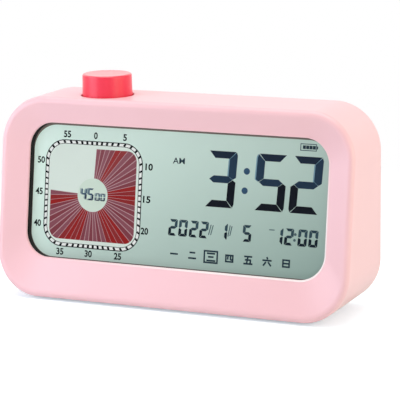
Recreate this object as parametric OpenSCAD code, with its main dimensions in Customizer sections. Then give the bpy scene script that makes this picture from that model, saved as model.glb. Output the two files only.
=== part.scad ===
// Desk timer with a leaning display face, a push-and-turn knob and rear controls.
// Millimetres, +Z up, +Y to the back. The origin is on the table under the middle of the timer.

/* [Body] */
// Width of the housing
body_w = 134.5; // [122:0.5:160]
// Height of the housing without its feet
body_h = 71; // [64:0.5:82]
// Depth of the housing at its foot
body_d = 36; // [32.5:0.5:48]
// Angle at which the front face leans back
lean = 8.7; // [5:0.1:9.2]
// Radius of the four outline corners
corner_r = 16.5; // [12:0.5:22]
// Rounding of the front edge
front_fillet = 1.7; // [1.2:0.1:3]
// Rounding of the back edge
back_edge = 0.8; // [0.3:0.1:1]
// Thickness of the housing wall
wall = 2.2; // [1.8:0.1:2.4]
// Thickness of the thin rim around the rear cover
rim_wall = 1.2; // [1.1:0.1:1.5]
// Thickness of the front wall behind the rim
front_wall = 2.6; // [2:0.1:3]
// Fillet between the front wall and the side walls inside
inner_fillet = 1.5; // [0.5:0.1:1.6]

/* [Window] */
// Distance from the side of the housing to the window
bezel_side = 10; // [9.2:0.1:20]
// Distance from the top edge of the face to the window
bezel_top = 9.1; // [8.4:0.1:14]
// Distance from the bottom edge of the face to the window
bezel_bottom = 14.5; // [12.5:0.1:20]
// Corner radius of the window
window_r = 9; // [4:0.1:14]
// Depth of the window edge behind the rim
funnel_depth = 2.9; // [2.4:0.1:3.7]
// Thickness of the lip at the window edge
lip_t = 1; // [0.6:0.05:1.2]
// Rounding of the lip
lip_round = 0.4; // [0.2:0.05:0.5]
// Width of the seat behind the lip
seat_w = 3; // [2.6:0.1:3.4]

/* [Display] */
// Thickness of the window lens
lens_t = 1; // [0.8:0.1:1.5]
// How far the lens reaches past the window
lens_margin = 2.2; // [1.5:0.1:2.4]
// Thickness of the foam gasket behind the lens
gasket_t = 2; // [1:0.1:2.2]
// How far the gasket stays back from the window edge
gasket_back = 0.2; // [0:0.05:0.6]
// Thickness of each polariser film
film_t = 0.2; // [0.15:0.01:0.3]
// Thickness of each display glass
glass_t = 1.1; // [0.7:0.1:1.3]
// How far the glass reaches past the window
glass_margin = 1.2; // [0.8:0.1:1.4]
// Width of the contact ledge below the rear glass
ledge = 2.8; // [2.2:0.1:3]
// Thickness of the light guide
guide_t = 2.5; // [2:0.1:3]
// Width of one backlight LED
led_w = 1.6; // [1:0.1:2]
// Length of one backlight LED
led_l = 4; // [3:0.1:6]
// Wall of the display holder
holder_wall = 1.2; // [0.8:0.1:1.3]
// Clearance around the glass in its holder
glass_clear = 0.25; // [0.1:0.05:0.3]
// Thickness of the holder's screw ears
ear_t = 2; // [1.5:0.1:3]
// Height of one screw ear
ear_h = 6; // [5:0.5:9]
// Height of the lower ears up the face
ear_low = 21; // [19:0.5:24]
// Distance between the lower and upper ears
ear_pitch = 16; // [12:0.5:18]
// Distance of the ear screws from the inner side wall
ear_inset = 1.8; // [1.7:0.1:2.2]
// How far an ear reaches past its screw
ear_land = 1.5; // [1.4:0.05:1.6]
// Thickness of the main board
board_t = 1.6; // [1:0.1:1.8]
// How far the main board stays inside the display holder
board_edge = 1; // [0.5:0.1:2]
// Width of the contact strip
zebra_w = 2; // [1.5:0.1:2.1]
// How far the contact strip stays inside the glass at each end
zebra_inset = 12; // [6:0.5:20]
// Radius of the sealing drop over the controller
blob_r = 7; // [5:0.5:8]
// Height of the sealing drop
blob_h = 1.8; // [1:0.1:2.4]
// Place of the sealing drop from the middle
blob_x = 8; // [-10:0.5:12]
// Width of a board connector
plug_w = 7; // [5:0.5:10]
// Height of a board connector above the board
plug_h = 3.4; // [2.5:0.1:4]
// Depth of a board connector along the board
plug_d = 4; // [3:0.1:5]
// Wall of a board connector
plug_wall = 0.7; // [0.5:0.1:1]
// Distance between the board connectors
plug_pitch = 26; // [20:0.5:30]

/* [Knob] */
// Place of the knob left or right of the middle
knob_x = -31.3; // [-44:0.1:44]
// How far the knob axis lies behind the middle of the top
knob_set = -0.6; // [-1:0.1:1]
// Diameter of the knob at its foot
knob_d = 17.9; // [14:0.1:18]
// How much the knob narrows to its top
knob_draft = 0.3; // [0.2:0.1:1.2]
// Height of the knob above the housing
knob_h = 7.6; // [7:0.1:12]
// How far the knob reaches into its hole
knob_sink = 1.2; // [0.6:0.1:1.2]
// Gap around the knob in its hole
knob_gap = 0.5; // [0.4:0.05:0.6]
// Rounding of the top edge of the knob
knob_round = 0.7; // [0.3:0.1:1.2]
// Wall of the knob
knob_wall = 1.6; // [1.2:0.1:2]
// Travel of the knob when it is pushed
push_travel = 0.5; // [0.3:0.05:0.6]

/* [Encoder] */
// Side of the encoder base
enc_side = 11.6; // [11:0.1:11.8]
// Height of the encoder base
enc_base_h = 2.8; // [2.7:0.1:3.4]
// Thickness of the encoder's steel plate
enc_plate_t = 0.4; // [0.3:0.05:0.5]
// Gap between the plate and the wall above it
plate_gap = 0.2; // [0.1:0.05:0.4]
// Height of the bushing above the plate
bushing_h = 2.8; // [2.2:0.1:3]
// Outer diameter of the bushing
bushing_d = 7; // [6.8:0.1:8]
// Diameter of the encoder shaft
shaft_d = 6; // [5:0.1:6.2]
// Radial running clearance of the shaft
shaft_clear = 0.05; // [0.02:0.01:0.1]
// Side of the square drive below the shaft
drive_side = 2.9; // [2.4:0.1:3.2]
// Diameter of the rotor disc
rotor_d = 8.6; // [7.6:0.1:8.8]
// Thickness of the rotor disc
rotor_t = 1.3; // [1:0.1:1.4]
// Thickness of the encoder board
enc_board_t = 1; // [0.8:0.1:1.2]
// Length of the encoder board screws under the head
enc_screw_len = 3.5; // [3:0.1:3.8]
// How far the encoder board screws lie behind the knob axis
enc_screw_set = 3; // [2.5:0.1:4]
// Floor of the encoder base under the snap dome
base_floor = 0.9; // [0.8:0.05:1]
// Height of the snap dome
dome_h = 0.3; // [0.2:0.05:0.35]
// Play above and below the rotor disc
rotor_play = 0.2; // [0.1:0.05:0.25]
// Radial play of the rotor disc in its well
rotor_side_play = 0.35; // [0.2:0.05:0.5]
// Width of the ledge under the rotor disc
rotor_ledge = 1; // [0.6:0.1:1.2]
// Depth of the flat on the shaft
flat_depth = 1.5; // [1:0.1:1.8]
// Width of the encoder board
enc_board_w = 24; // [23:0.5:30]

/* [Rear] */
// Thickness of the rear cover
cover_t = 2.2; // [1.8:0.1:2.4]
// How far the rear cover lies below the back edge
cover_recess = 0.3; // [0:0.1:0.6]
// Clearance around the rear cover
cover_clear = 0.2; // [0.1:0.05:0.3]
// Distance of the cover screws from the side of the housing
screw_side = 7; // [6.5:0.5:9]
// Height of the lower cover screws above the foot of the housing
screw_low = 17; // [16:0.5:20]
// Distance of the upper cover screws below the top
screw_high = 16; // [15:0.5:19]
// Length of the screw posts
post_len = 8; // [7.5:0.5:9]
// Diameter of the screw posts
post_d = 6; // [5:0.5:7]
// Diameter of the push buttons
button_d = 7; // [5:0.5:9]
// Distance between the push buttons
button_pitch = 20; // [18:0.5:22]
// How far the buttons stand behind the housing
button_proud = 1; // [0.8:0.1:2]
// Travel of the push buttons
button_travel = 0.6; // [0.3:0.05:0.8]
// Radial clearance of buttons in the cover
button_clear = 0.1; // [0.05:0.01:0.2]
// Thickness of the flange that keeps a button in
flange_t = 0.8; // [0.6:0.1:1]
// Width of the flange around a button
flange_w = 1; // [0.6:0.1:1.4]
// Length of the stem between flange and switch
stem_len = 0.6; // [0.4:0.1:1]
// Height of the button row below the top
key_drop = 19.5; // [19:0.5:21]
// Side of a tact switch
switch_side = 6; // [4.5:0.1:6.5]
// Height of a tact switch body
switch_h = 3.4; // [3:0.1:3.8]
// Height of a tact switch plunger
plunger_h = 0.8; // [0.5:0.1:1]
// Width of the key board
key_board_w = 101; // [100:1:106]
// Height of the key board
key_board_h = 13; // [12.5:0.5:14]
// Thickness of the key board
key_board_t = 1.2; // [0.8:0.1:1.6]
// Diameter of the posts under the key board and the encoder board
key_post_d = 4; // [3.6:0.1:4.4]
// Distance of the key board screws from its long edges
key_post_edge = 2.2; // [2:0.1:2.4]
// Place of the USB socket from the middle
usb_x = 45; // [44:0.5:46]
// Width of the USB shell
usb_w = 8.9; // [8.5:0.1:9.2]
// Height of the USB shell
usb_h = 3.2; // [3:0.1:3.4]
// Sheet thickness of the USB shell
usb_wall = 0.3; // [0.2:0.05:0.4]
// Thickness of the contact tongue in the USB shell
tongue_t = 0.7; // [0.5:0.05:0.8]
// Gap beside the contact tongue at each end
tongue_gap = 0.9; // [0.6:0.1:1.2]
// Clearance around the USB shell in the cover
usb_clear = 0.2; // [0.1:0.05:0.3]
// Thickness of the closed end of the USB shell
usb_floor = 1; // [0.6:0.1:1.4]
// How far the USB shell stays below the outside of the cover
usb_back = 0.5; // [0.2:0.1:1]
// Place of the volume slider from the middle
slider_x = -44; // [-45:0.5:-43]
// Travel of the slider each way
slider_travel = 2; // [1:0.1:2]
// Width of the slider grip
grip_w = 4; // [3:0.1:5]
// Height of the slider grip
grip_h = 2.6; // [2:0.1:3]
// How far the slider grip stands out of the cover
grip_proud = 0.9; // [0.4:0.1:1.2]
// Clearance of the slider in its slot
slider_clear = 0.25; // [0.15:0.05:0.4]
// How far the slider flange reaches past its slot
slider_lap = 1.2; // [1:0.1:1.5]
// Width of the grooves across the slider grip
groove_w = 0.4; // [0.2:0.05:0.5]
// Depth of the grooves across the slider grip
groove_d = 0.3; // [0.2:0.05:0.4]
// Width of the volume switch body
slide_w = 9; // [8:0.1:10]
// Height of the volume switch body above the key board
slide_t = 3.4; // [3:0.1:3.6]
// Depth of the volume switch body along the key board
slide_h = 3.6; // [3:0.1:4]

/* [Sound and power] */
// Diameter of the speaker
speaker_d = 26; // [20:0.5:28]
// Height of the speaker basket
speaker_h = 3; // [2:0.1:4]
// Height of the speaker magnet
magnet_h = 3.2; // [2:0.1:4]
// Thickness of the speaker gasket
speaker_gasket_t = 0.8; // [0.5:0.1:1.2]
// Width of the speaker gasket
gasket_w = 2; // [1.5:0.1:2.5]
// Place of the speaker from the middle
speaker_x = -32; // [-40:0.5:-26]
// Height of the speaker above the foot of the housing
speaker_up = 24; // [20:0.5:25]
// Wall of the ring around the speaker
speaker_wall_t = 1.2; // [0.8:0.1:1.6]
// Sheet thickness of the speaker basket
basket_t = 0.8; // [0.6:0.1:1]
// Thickness of the paper cone
cone_t = 0.5; // [0.3:0.05:0.6]
// Radius of the speaker's magnet and of the throat of its basket
throat_r = 7.2; // [5:0.1:8]
// Width of the speaker's mounting rim
basket_rim = 1.5; // [1.2:0.1:2]
// Diameter of a sound hole
sound_hole_d = 1.6; // [1:0.1:2]
// Distance between the sound holes
sound_pitch = 3; // [2.6:0.1:3.4]
// Width of the battery cell
cell_w = 50; // [40:1:54]
// Height of the battery cell
cell_h = 30; // [24:1:32]
// Thickness of the battery cell
cell_t = 6; // [4:0.5:7]
// Place of the battery from the middle
cell_x = 24; // [20:0.5:28]
// Height of the battery above the foot of the housing
cell_up = 21; // [19:0.5:24]
// Thickness of the battery tape
tape_t = 0.5; // [0.3:0.1:1]
// How far the tape stays inside the cell
tape_inset = 5; // [3:0.5:8]
// Thickness of the ribs beside the cell
rib_t = 1.2; // [0.8:0.1:1.6]
// Gap between the ribs and the cell
rib_gap = 0.3; // [0.2:0.05:0.6]
// Corner radius of the cell
cell_r = 2; // [1:0.1:3]
// Width of the folded edge of the cell
cell_fold = 1.2; // [0.8:0.1:2]

/* [Feet and fasteners] */
// How far the foot pads stand below the housing
foot_h = 0.8; // [0.5:0.1:1.5]
// Diameter of a foot pad
foot_d = 8; // [6:0.5:9]
// Depth of the pockets that hold the foot pads
foot_pocket = 0.8; // [0.4:0.1:1]
// Distance of the foot pads from the side of the housing
foot_side = 22; // [18:0.5:30]
// Distance of the front pads from the front edge
foot_front = 10; // [9.5:0.5:12]
// Distance of the rear pads from the back
foot_back = 8; // [7.5:0.5:10]
// Thread diameter of the cover screws
screw_d = 2; // [1.8:0.1:2.3]
// Head diameter of the cover screws
head_d = 3.9; // [3.5:0.1:4.2]
// Head height of the cover screws
head_h = 1.1; // [0.9:0.1:1.2]
// Length of the cover screws under the head
screw_len = 6.5; // [5.5:0.5:7]
// Thread diameter of the board screws
small_screw_d = 1.6; // [1.4:0.1:1.8]
// Head diameter of the board screws
small_head_d = 2.8; // [2.6:0.1:3]
// Head height of the board screws
small_head_h = 0.9; // [0.7:0.1:1]
// Length of the board screws under the head
small_len = 5; // [4:0.1:5]
// Radial play of a screw in the hole it passes through
screw_play = 0.2; // [0.1:0.05:0.3]

/* [Hidden] */
$fn = 64;

// Straight steps in each outline corner, the front rounding, the lip and the back edge
corner_steps = 12;
fillet_steps = 7;
lip_steps = 2;
back_steps = 2;
// Share of the funnel over which it bends away from the rim, and the shares at which it has a ring
funnel_bend = 0.12;
funnel_shares = [funnel_bend / 2, funnel_bend, 1];
// Bond line between stacked pieces, and the play of pieces that only just touch
bond = 0.02;
rest_gap = 0.05;
// Small overshoot that keeps joined shapes and cuts clean, and the overshoot of cuts through a wall
eps = 0.01;
cut = 1;
// How far posts run into the wall they stand on, and the floor left under their screw holes
post_root = 0.5;
hole_floor = 1;
// How far a screw head lies below the face it is sunk in
head_sink = 0.2;

// Places that follow from the sizes
front_lead = front_fillet * (tan(lean) * (1 - sin(lean)) + 1 - cos(lean));
front_y = -(front_lead + body_d + button_proud) / 2;
back_y = front_y + body_d;
top_z = foot_h + body_h;
mid_z = foot_h + body_h / 2;
face_len = body_h / cos(lean);
cover_y = back_y - cover_recess - cover_t;
window_w = body_w - 2 * bezel_side;
window_h = face_len - bezel_top - bezel_bottom;

// The window and what lies behind it, measured along and behind the face
window_up = bezel_bottom + window_h / 2;
lens_y = funnel_depth + lip_t + rest_gap;
gasket_y = lens_y + lens_t + bond;
film_y = gasket_y + gasket_t + bond;
glass_y = film_y + film_t + bond;
rear_glass_y = glass_y + glass_t + bond;
reflector_y = rear_glass_y + glass_t + bond;
guide_y = reflector_y + film_t + bond;
board_y = guide_y + guide_t + rest_gap;
board_back = board_y + board_t;
glass_w = window_w + 2 * glass_margin;
glass_h = window_h + 2 * glass_margin;
glass_bottom = window_up - glass_h / 2 - ledge;
holder_w = glass_w + 2 * (glass_clear + holder_wall);
holder_h = glass_h + ledge + 2 * (glass_clear + holder_wall);
holder_up = window_up - ledge / 2;
ear_root = 0.3;
ear_x = body_w / 2 - wall - ear_inset;
ear_heights = [ear_low, ear_low + ear_pitch];
ear_places = [for (side = [-1, 1], up = ear_heights) [side * ear_x, up]];
ear_post_d = 2 * (ear_inset + ear_root);

// The knob and its encoder, from the underside of the top down
top_front_y = front_y + body_h * tan(lean);
knob_y = (top_front_y + back_y) / 2 + knob_set;
knob_r = knob_d / 2;
knob_top_r = knob_r - knob_draft / 2;
knob_z = top_z - knob_sink;
knob_top_z = top_z + knob_h;
knob_hole_r = knob_r + knob_gap;
plate_z = top_z - wall - plate_gap - enc_plate_t;
base_z = plate_z - enc_base_h;
enc_board_z = base_z - enc_board_t;
bushing_z = plate_z + enc_plate_t + bushing_h;
shaft_r = shaft_d / 2;
shaft_end_z = base_z + base_floor + dome_h + push_travel + rest_gap;
rotor_z = plate_z - rotor_t - rotor_play;
shoulder_z = rotor_z + rotor_t + push_travel + rotor_play - rest_gap;
boss_z = bushing_z + push_travel + rotor_play;
boss_r = shaft_r + knob_wall;
knob_ceiling = knob_top_z - knob_wall;
shaft_top_z = knob_ceiling - rotor_play;
enc_screw_x = (enc_board_w + enc_side) / 4;
enc_screw_places = [for (side = [-1, 1]) [knob_x + side * enc_screw_x, knob_y + enc_screw_set]];

// The rear controls, from the inside of the cover forward
key_gap = flange_t + rest_gap + stem_len + rest_gap + button_travel + plunger_h + switch_h;
key_y = cover_y - key_gap;
key_z = top_z - key_drop;
button_x = [for (i = [0:3]) (i - 1.5) * button_pitch];
key_post_up = key_board_h / 2 - key_post_edge;
key_posts = [for (side = [-1, 1], up = [-1, 1]) [side * button_pitch, key_z + up * key_post_up]];
slot_w = grip_w + 2 * (slider_travel + slider_clear);
slot_h = grip_h + 2 * slider_clear;
slide_flange_w = slot_w + 2 * slider_lap;
slide_flange_h = slot_h + 2 * slider_lap;

// The main board ends below the key board
holder_low = holder_up - holder_h / 2;
board_w = holder_w - 2 * board_edge;
board_low = holder_low + board_edge;
board_high = (key_z - key_board_h / 2 - foot_h + board_y * sin(lean)) / cos(lean);
blob_up = board_high - 1.4 * blob_r;
plug_up = holder_low + holder_h / 4;

// The screws of the cover, the speaker and the cell
screw_x = body_w / 2 - screw_side;
screw_heights = [foot_h + screw_low, top_z - screw_high];
screw_places = [for (side = [-1, 1], z = screw_heights) [side * screw_x, z]];
post_short = 0.1;
speaker_z = foot_h + speaker_up;
speaker_r = speaker_d / 2;
basket_y = cover_y - speaker_gasket_t - speaker_h;
cell_z = foot_h + cell_up;
counterbore = head_h + head_sink;
foot_places = [for (side = [-1, 1], y = [front_y + foot_front, back_y - foot_back])
  [side * (body_w / 2 - foot_side), y]];

// Colours as the object shows them
pink = [0.97, 0.78, 0.81];
red = [0.92, 0.12, 0.22];
black = [0.08, 0.08, 0.09];
white = [0.93, 0.93, 0.91];
clear = [0.85, 0.92, 0.92, 0.3];
display_green = [0.72, 0.79, 0.74];
board_green = [0.1, 0.35, 0.2];
steel = [0.75, 0.76, 0.78];

// Points of a rounded rectangle, corner by corner, in X and Z
function outline(half_w, half_h, r) = [
  for (q = [0:3], i = [0:corner_steps])
    let (
      t = 90 * (q + i / corner_steps),
      cx = (q == 0 || q == 3 ? 1 : -1) * (half_w - r),
      cz = (q < 2 ? 1 : -1) * (half_h - r)
    )
    [cx + r * cos(t), cz + r * sin(t)]
];

// A ring that lies parallel to the leaning face, at a depth measured square to the face
function face_ring(half_w, half_h, r, up, depth) = [
  for (p = outline(half_w, half_h, r))
    let (z = up + p[1])
    [p[0], front_y + (z - foot_h) * tan(lean) + depth / cos(lean), z]
];

// A ring that stands upright at one depth
function upright_ring(half_w, half_h, r, up, y) = [
  for (p = outline(half_w, half_h, r)) [p[0], y, up + p[1]]
];

// Rings of the outline drawn in by an inset
function face_inset(inset, depth) =
  face_ring(body_w / 2 - inset, body_h / 2 - inset, corner_r - inset, mid_z, depth);
function upright_inset(inset, y) =
  upright_ring(body_w / 2 - inset, body_h / 2 - inset, corner_r - inset, mid_z, y);

// Height of a point that is given along and behind the face
function face_z(up, depth) = foot_h + up * cos(lean) - depth * sin(lean);

// Rings of the window, grown by an offset
function window_ring(grow, depth) =
  face_ring(
    window_w / 2 + grow, (window_h / 2 + grow) * cos(lean), window_r + grow,
    face_z(window_up, depth), depth
  );

function mix(a, b, t) = a + (b - a) * t;

// Share of the funnel's depth reached at a share of its width
function funnel_fall(t) =
  (t < funnel_bend ? t * t / (2 * funnel_bend) : t - funnel_bend / 2) / (1 - funnel_bend / 2);

// One ring of the funnel between the rim and the rounded lip
function funnel_ring(t) =
  let (depth = funnel_depth * funnel_fall(t))
  face_ring(
    mix(body_w / 2 - front_fillet, window_w / 2 + lip_round, t),
    mix(body_h / 2 - front_fillet, (window_h / 2 + lip_round) * cos(lean), t),
    mix(corner_r - front_fillet, window_r + lip_round, t),
    mix(mid_z, face_z(window_up, funnel_depth), t),
    depth
  );

// Rings of the housing, from the back edge over the front into the window and back inside
housing_rings = concat(
  [for (i = [0:back_steps])
    let (t = 90 * i / back_steps)
    upright_inset(back_edge * (1 - sin(t)), back_y - back_edge * (1 - cos(t)))],
  [for (i = [0:fillet_steps])
    let (t = 90 - 90 * i / fillet_steps)
    face_inset(front_fillet * (1 - sin(t)), front_fillet * (1 - cos(t)))],
  [for (t = funnel_shares) funnel_ring(t)],
  [for (i = [1:lip_steps])
    let (t = 90 * i / lip_steps)
    window_ring(lip_round * (1 - sin(t)), funnel_depth + lip_round * (1 - cos(t)))],
  [
    window_ring(0, funnel_depth + lip_t),
    window_ring(seat_w, funnel_depth + lip_t),
    face_inset(wall + inner_fillet, front_wall),
    face_inset(wall, front_wall + inner_fillet),
    upright_inset(wall, cover_y - bond),
    upright_inset(rim_wall, cover_y - bond),
    upright_inset(rim_wall, back_y)
  ]
);

// Closed skin through a loop of rings that all have the same number of points
module ring_skin(rings) {
  count = len(rings);
  size = len(rings[0]);
  points = [for (ring = rings, p = ring) p];
  faces = [
    for (i = [0:count - 1], j = [0:size - 1])
      let (
        a = i * size + j,
        b = i * size + (j + 1) % size,
        c = ((i + 1) % count) * size + (j + 1) % size,
        d = ((i + 1) % count) * size + j
      )
      each [[a, c, b], [a, d, c]]
  ];
  polyhedron(points, faces);
}

// Rounded rectangle in the drawing plane
module rounded(w, h, r) {
  square([w - 2 * r, h], center = true);
  square([w, h - 2 * r], center = true);
  for (x = [-1, 1], y = [-1, 1])
    translate([x * (w / 2 - r), y * (h / 2 - r)])
      circle(r);
}

// A flat shape drawn in X and Z, made a plate that reaches back from y = 0
module plate(t) {
  translate([0, t, 0])
    rotate([90, 0, 0])
      linear_extrude(t)
        children();
}

// A cylinder that reaches back along Y
module rod(d, len) {
  rotate([-90, 0, 0])
    cylinder(d = d, h = len);
}

// Draws its children on the right and mirrors them to the left
module both_sides() {
  children();
  mirror([1, 0, 0])
    children();
}

// Places its children along and behind the leaning face
module on_face(x, depth, up) {
  translate([0, front_y, foot_h])
    rotate([-lean, 0, 0])
      translate([x, depth, up])
        children();
}

// A screw whose head faces forward and whose shank reaches back from y = 0
module back_screw(d, len, head_d, head_h) {
  rod(d, len);
  difference() {
    translate([0, -head_h, 0])
      rod(head_d, head_h);
    for (turn = [0, 90])
      rotate([0, turn, 0])
        translate([-head_d * 0.3, -head_h - eps, -head_d * 0.07])
          cube([head_d * 0.6, head_h * 0.6, head_d * 0.14]);
  }
}

// Shell with the bezel, the sides, the top and the bottom in one piece
module front_housing() {
  color(pink)
    difference() {
      union() {
        ring_skin(housing_rings);
        both_sides() {
          for (z = screw_heights)
            cover_post(z);
          for (up = ear_heights)
            on_face(ear_x, front_wall - post_root, up)
              rod(ear_post_d, board_y - ear_t - rest_gap - front_wall + post_root);
        }
        for (p = enc_screw_places)
          translate([p[0], p[1], base_z + rest_gap])
            cylinder(d = key_post_d, h = top_z - wall / 2 - base_z - rest_gap);
      }
      translate([knob_x, knob_y, top_z - wall - cut])
        cylinder(r = knob_hole_r, h = wall + 2 * cut);
      for (p = screw_places)
        translate([p[0], cover_y - post_len + hole_floor, p[1]])
          rod(screw_d + 2 * rest_gap, post_len);
      for (p = ear_places)
        on_face(p[0], front_wall + post_root, p[1])
          rod(small_screw_d + 2 * rest_gap, board_y);
      for (p = enc_screw_places)
        translate([p[0], p[1], enc_board_z])
          cylinder(d = small_screw_d + 2 * rest_gap, h = enc_screw_len + post_root);
      for (p = foot_places)
        translate([p[0], p[1], foot_h - cut])
          cylinder(d = foot_d + 2 * rest_gap, h = foot_pocket + cut);
    }
}

// Post for a cover screw with the rib that ties it to the side wall
module cover_post(z) {
  translate([screw_x, cover_y - post_len - post_short, z]) {
    rod(post_d, post_len);
    translate([0, 0, -post_d / 4])
      cube([screw_side - wall / 2, post_len, post_d / 2]);
  }
}

// Inset back plate with its holes and the posts that carry the boards
module rear_cover() {
  inset = rim_wall + cover_clear;
  color(pink)
    difference() {
      union() {
        translate([0, cover_y, mid_z])
          plate(cover_t)
            rounded(body_w - 2 * inset, body_h - 2 * inset, corner_r - inset);
        for (p = key_posts)
          translate([p[0], key_y + rest_gap, p[1]])
            rod(key_post_d, key_gap);
        speaker_wall();
        cell_ribs();
      }
      for (p = screw_places)
        translate([p[0], cover_y - cut, p[1]]) {
          rod(screw_d + 2 * screw_play, cover_t + 2 * cut);
          translate([0, cut + cover_t - counterbore, 0])
            rod(head_d + 2 * screw_play, counterbore + cut);
        }
      for (p = key_posts)
        translate([p[0], key_y - cut, p[1]])
          rod(small_screw_d + 2 * rest_gap, small_len + cut - key_board_t + post_root);
      for (x = button_x)
        translate([x, cover_y - cut, key_z])
          rod(button_d + 2 * button_clear, cover_t + 2 * cut);
      translate([usb_x, cover_y - cut, key_z])
        plate(cover_t + 2 * cut)
          rounded(usb_w + 2 * usb_clear, usb_h + 2 * usb_clear, usb_h / 2 + usb_clear - eps);
      translate([slider_x, cover_y - cut, key_z])
        plate(cover_t + 2 * cut)
          square([slot_w, slot_h], center = true);
      sound_holes();
    }
}

// Round wall that keeps the speaker in place
module speaker_wall() {
  h = speaker_gasket_t + speaker_h;
  translate([speaker_x, cover_y - h, speaker_z])
    difference() {
      rod(speaker_d + 2 * (rest_gap + speaker_wall_t), h + cover_t / 2);
      translate([0, -cut, 0])
        rod(speaker_d + 2 * rest_gap, h + cut);
    }
}

// Low ribs beside the battery cell
module cell_ribs() {
  rib_h = tape_t + cell_t / 2;
  for (side = [-1, 1])
    translate([
      cell_x + side * (cell_w / 2 + rib_gap + rib_t / 2) - rib_t / 2, cover_y - rib_h, cell_z - cell_h / 4
    ])
      cube([rib_t, rib_h + cover_t / 2, cell_h / 2]);
}

// Sound holes on a hexagon pattern in front of the speaker
module sound_holes() {
  rings = 3;
  for (q = [-rings:rings], r = [-rings:rings])
    if (abs(q + r) <= rings)
      translate([
        speaker_x + sound_pitch * (q + r / 2), cover_y - cut, speaker_z + sound_pitch * r * sin(60)
      ])
        rod(sound_hole_d, cover_t + 2 * cut);
}

// Screws that hold the rear cover
module cover_screws() {
  color(steel)
    for (p = screw_places)
      translate([p[0], back_y - cover_recess - counterbore + bond, p[1]])
        mirror([0, 1, 0])
          back_screw(screw_d, screw_len, head_d, head_h);
}

// Rubber pads that the timer stands on
module foot_pads() {
  color(black)
    for (p = foot_places)
      translate([p[0], p[1], 0])
        cylinder(d = foot_d, h = foot_h + foot_pocket - bond);
}

// Clear pane behind the window lip
module display_lens() {
  color(clear)
    on_face(0, lens_y, window_up)
      plate(lens_t)
        rounded(window_w + 2 * lens_margin, window_h + 2 * lens_margin, window_r + lens_margin);
}

// Black foam frame between the lens and the display
module lens_gasket() {
  color(black)
    on_face(0, gasket_y, window_up)
      plate(gasket_t)
        difference() {
          rounded(window_w + 2 * lens_margin, window_h + 2 * lens_margin, window_r + lens_margin);
          rounded(window_w + 2 * gasket_back, window_h + 2 * gasket_back, window_r + gasket_back);
        }
}

// Front film of the display
module front_polariser() {
  color(display_green)
    on_face(0, film_y, window_up)
      plate(film_t)
        square([glass_w - glass_margin, glass_h - glass_margin], center = true);
}

// Front glass, longer below than the rear glass
module front_glass() {
  color(clear)
    on_face(0, glass_y, holder_up)
      plate(glass_t)
        square([glass_w, glass_h + ledge], center = true);
}

// Rear glass
module rear_glass() {
  color(clear)
    on_face(0, rear_glass_y, window_up)
      plate(glass_t)
        square([glass_w, glass_h], center = true);
}

// Rear film with the reflector
module rear_reflector() {
  color(display_green)
    on_face(0, reflector_y, window_up)
      plate(film_t)
        square([glass_w - glass_margin, glass_h - glass_margin], center = true);
}

// Light guide with room for the LEDs at its right edge
module light_guide() {
  guide_w = glass_w - led_w - 2 * glass_clear;
  color(white)
    on_face(-(glass_w - guide_w) / 2, guide_y, window_up)
      plate(guide_t)
        square([guide_w, glass_h], center = true);
}

// LEDs that shine into the edge of the light guide
module backlight_leds() {
  color([0.95, 0.95, 0.8])
    for (side = [-1, 1])
      on_face(glass_w / 2 - led_w / 2, guide_y + rest_gap, window_up + side * glass_h / 4)
        plate(guide_t)
          square([led_w, led_l], center = true);
}

// Four screw ears that reach from an inner edge out past the ear screws
module screw_ears(inner, depth, t) {
  both_sides()
    for (up = ear_heights)
      on_face(inner, depth, up - ear_h / 2)
        cube([ear_x + ear_land - inner, t, ear_h]);
}

// Frame around the display with four screw ears
module lcd_holder() {
  color(white)
    difference() {
      union() {
        on_face(0, film_y, holder_up)
          plate(board_y - rest_gap - film_y)
            square([holder_w, holder_h], center = true);
        screw_ears(holder_w / 2 - holder_wall, board_y - rest_gap - ear_t, ear_t);
      }
      on_face(0, film_y - cut, holder_up)
        plate(board_y - film_y + 2 * cut)
          square([glass_w + 2 * glass_clear, glass_h + ledge + 2 * glass_clear], center = true);
      for (p = ear_places)
        on_face(p[0], film_y, p[1])
          rod(small_screw_d + 2 * screw_play, board_y);
    }
}

// Contact strip between the front glass and the board
module zebra_strip() {
  color([0.25, 0.25, 0.28])
    on_face(0, rear_glass_y, glass_bottom + ledge / 2)
      plate(board_y - bond - rear_glass_y)
        square([glass_w - 2 * zebra_inset, zebra_w], center = true);
}

// Main board with side ears over the ears of the holder
module main_board() {
  color(board_green)
    difference() {
      union() {
        on_face(0, board_y, (board_low + board_high) / 2)
          plate(board_t)
            square([board_w, board_high - board_low], center = true);
        screw_ears(board_w / 2 - board_edge, board_y, board_t);
      }
      for (p = ear_places)
        on_face(p[0], board_y - cut, p[1])
          rod(small_screw_d + 2 * screw_play, board_t + 2 * cut);
    }
}

// Domed sealing drop over the controller
module controller_blob() {
  ball_r = (blob_r * blob_r + blob_h * blob_h) / (2 * blob_h);
  color(black)
    on_face(blob_x, board_back + bond, blob_up)
      rotate([-90, 0, 0])
        rotate_extrude()
          intersection() {
            translate([0, blob_h - ball_r])
              circle(ball_r, $fn = 360);
            square([blob_r + cut, blob_h + cut]);
          }
}

// Plug-in connectors for the leads to the other boards
module board_connectors() {
  color(white)
    for (i = [-1:1])
      on_face(i * plug_pitch, board_back + bond, plug_up)
        translate([-plug_w / 2, 0, -plug_d / 2])
          difference() {
            cube([plug_w, plug_h, plug_d]);
            translate([plug_wall, plug_wall, plug_wall])
              cube([plug_w - 2 * plug_wall, plug_h, plug_d - 2 * plug_wall]);
          }
}

// Screws through the board and the holder into the housing
module board_screws() {
  color(steel)
    for (p = ear_places)
      on_face(p[0], board_back + bond, p[1])
        mirror([0, 1, 0])
          back_screw(small_screw_d, small_len + board_t, small_head_d, small_head_h);
}

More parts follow.
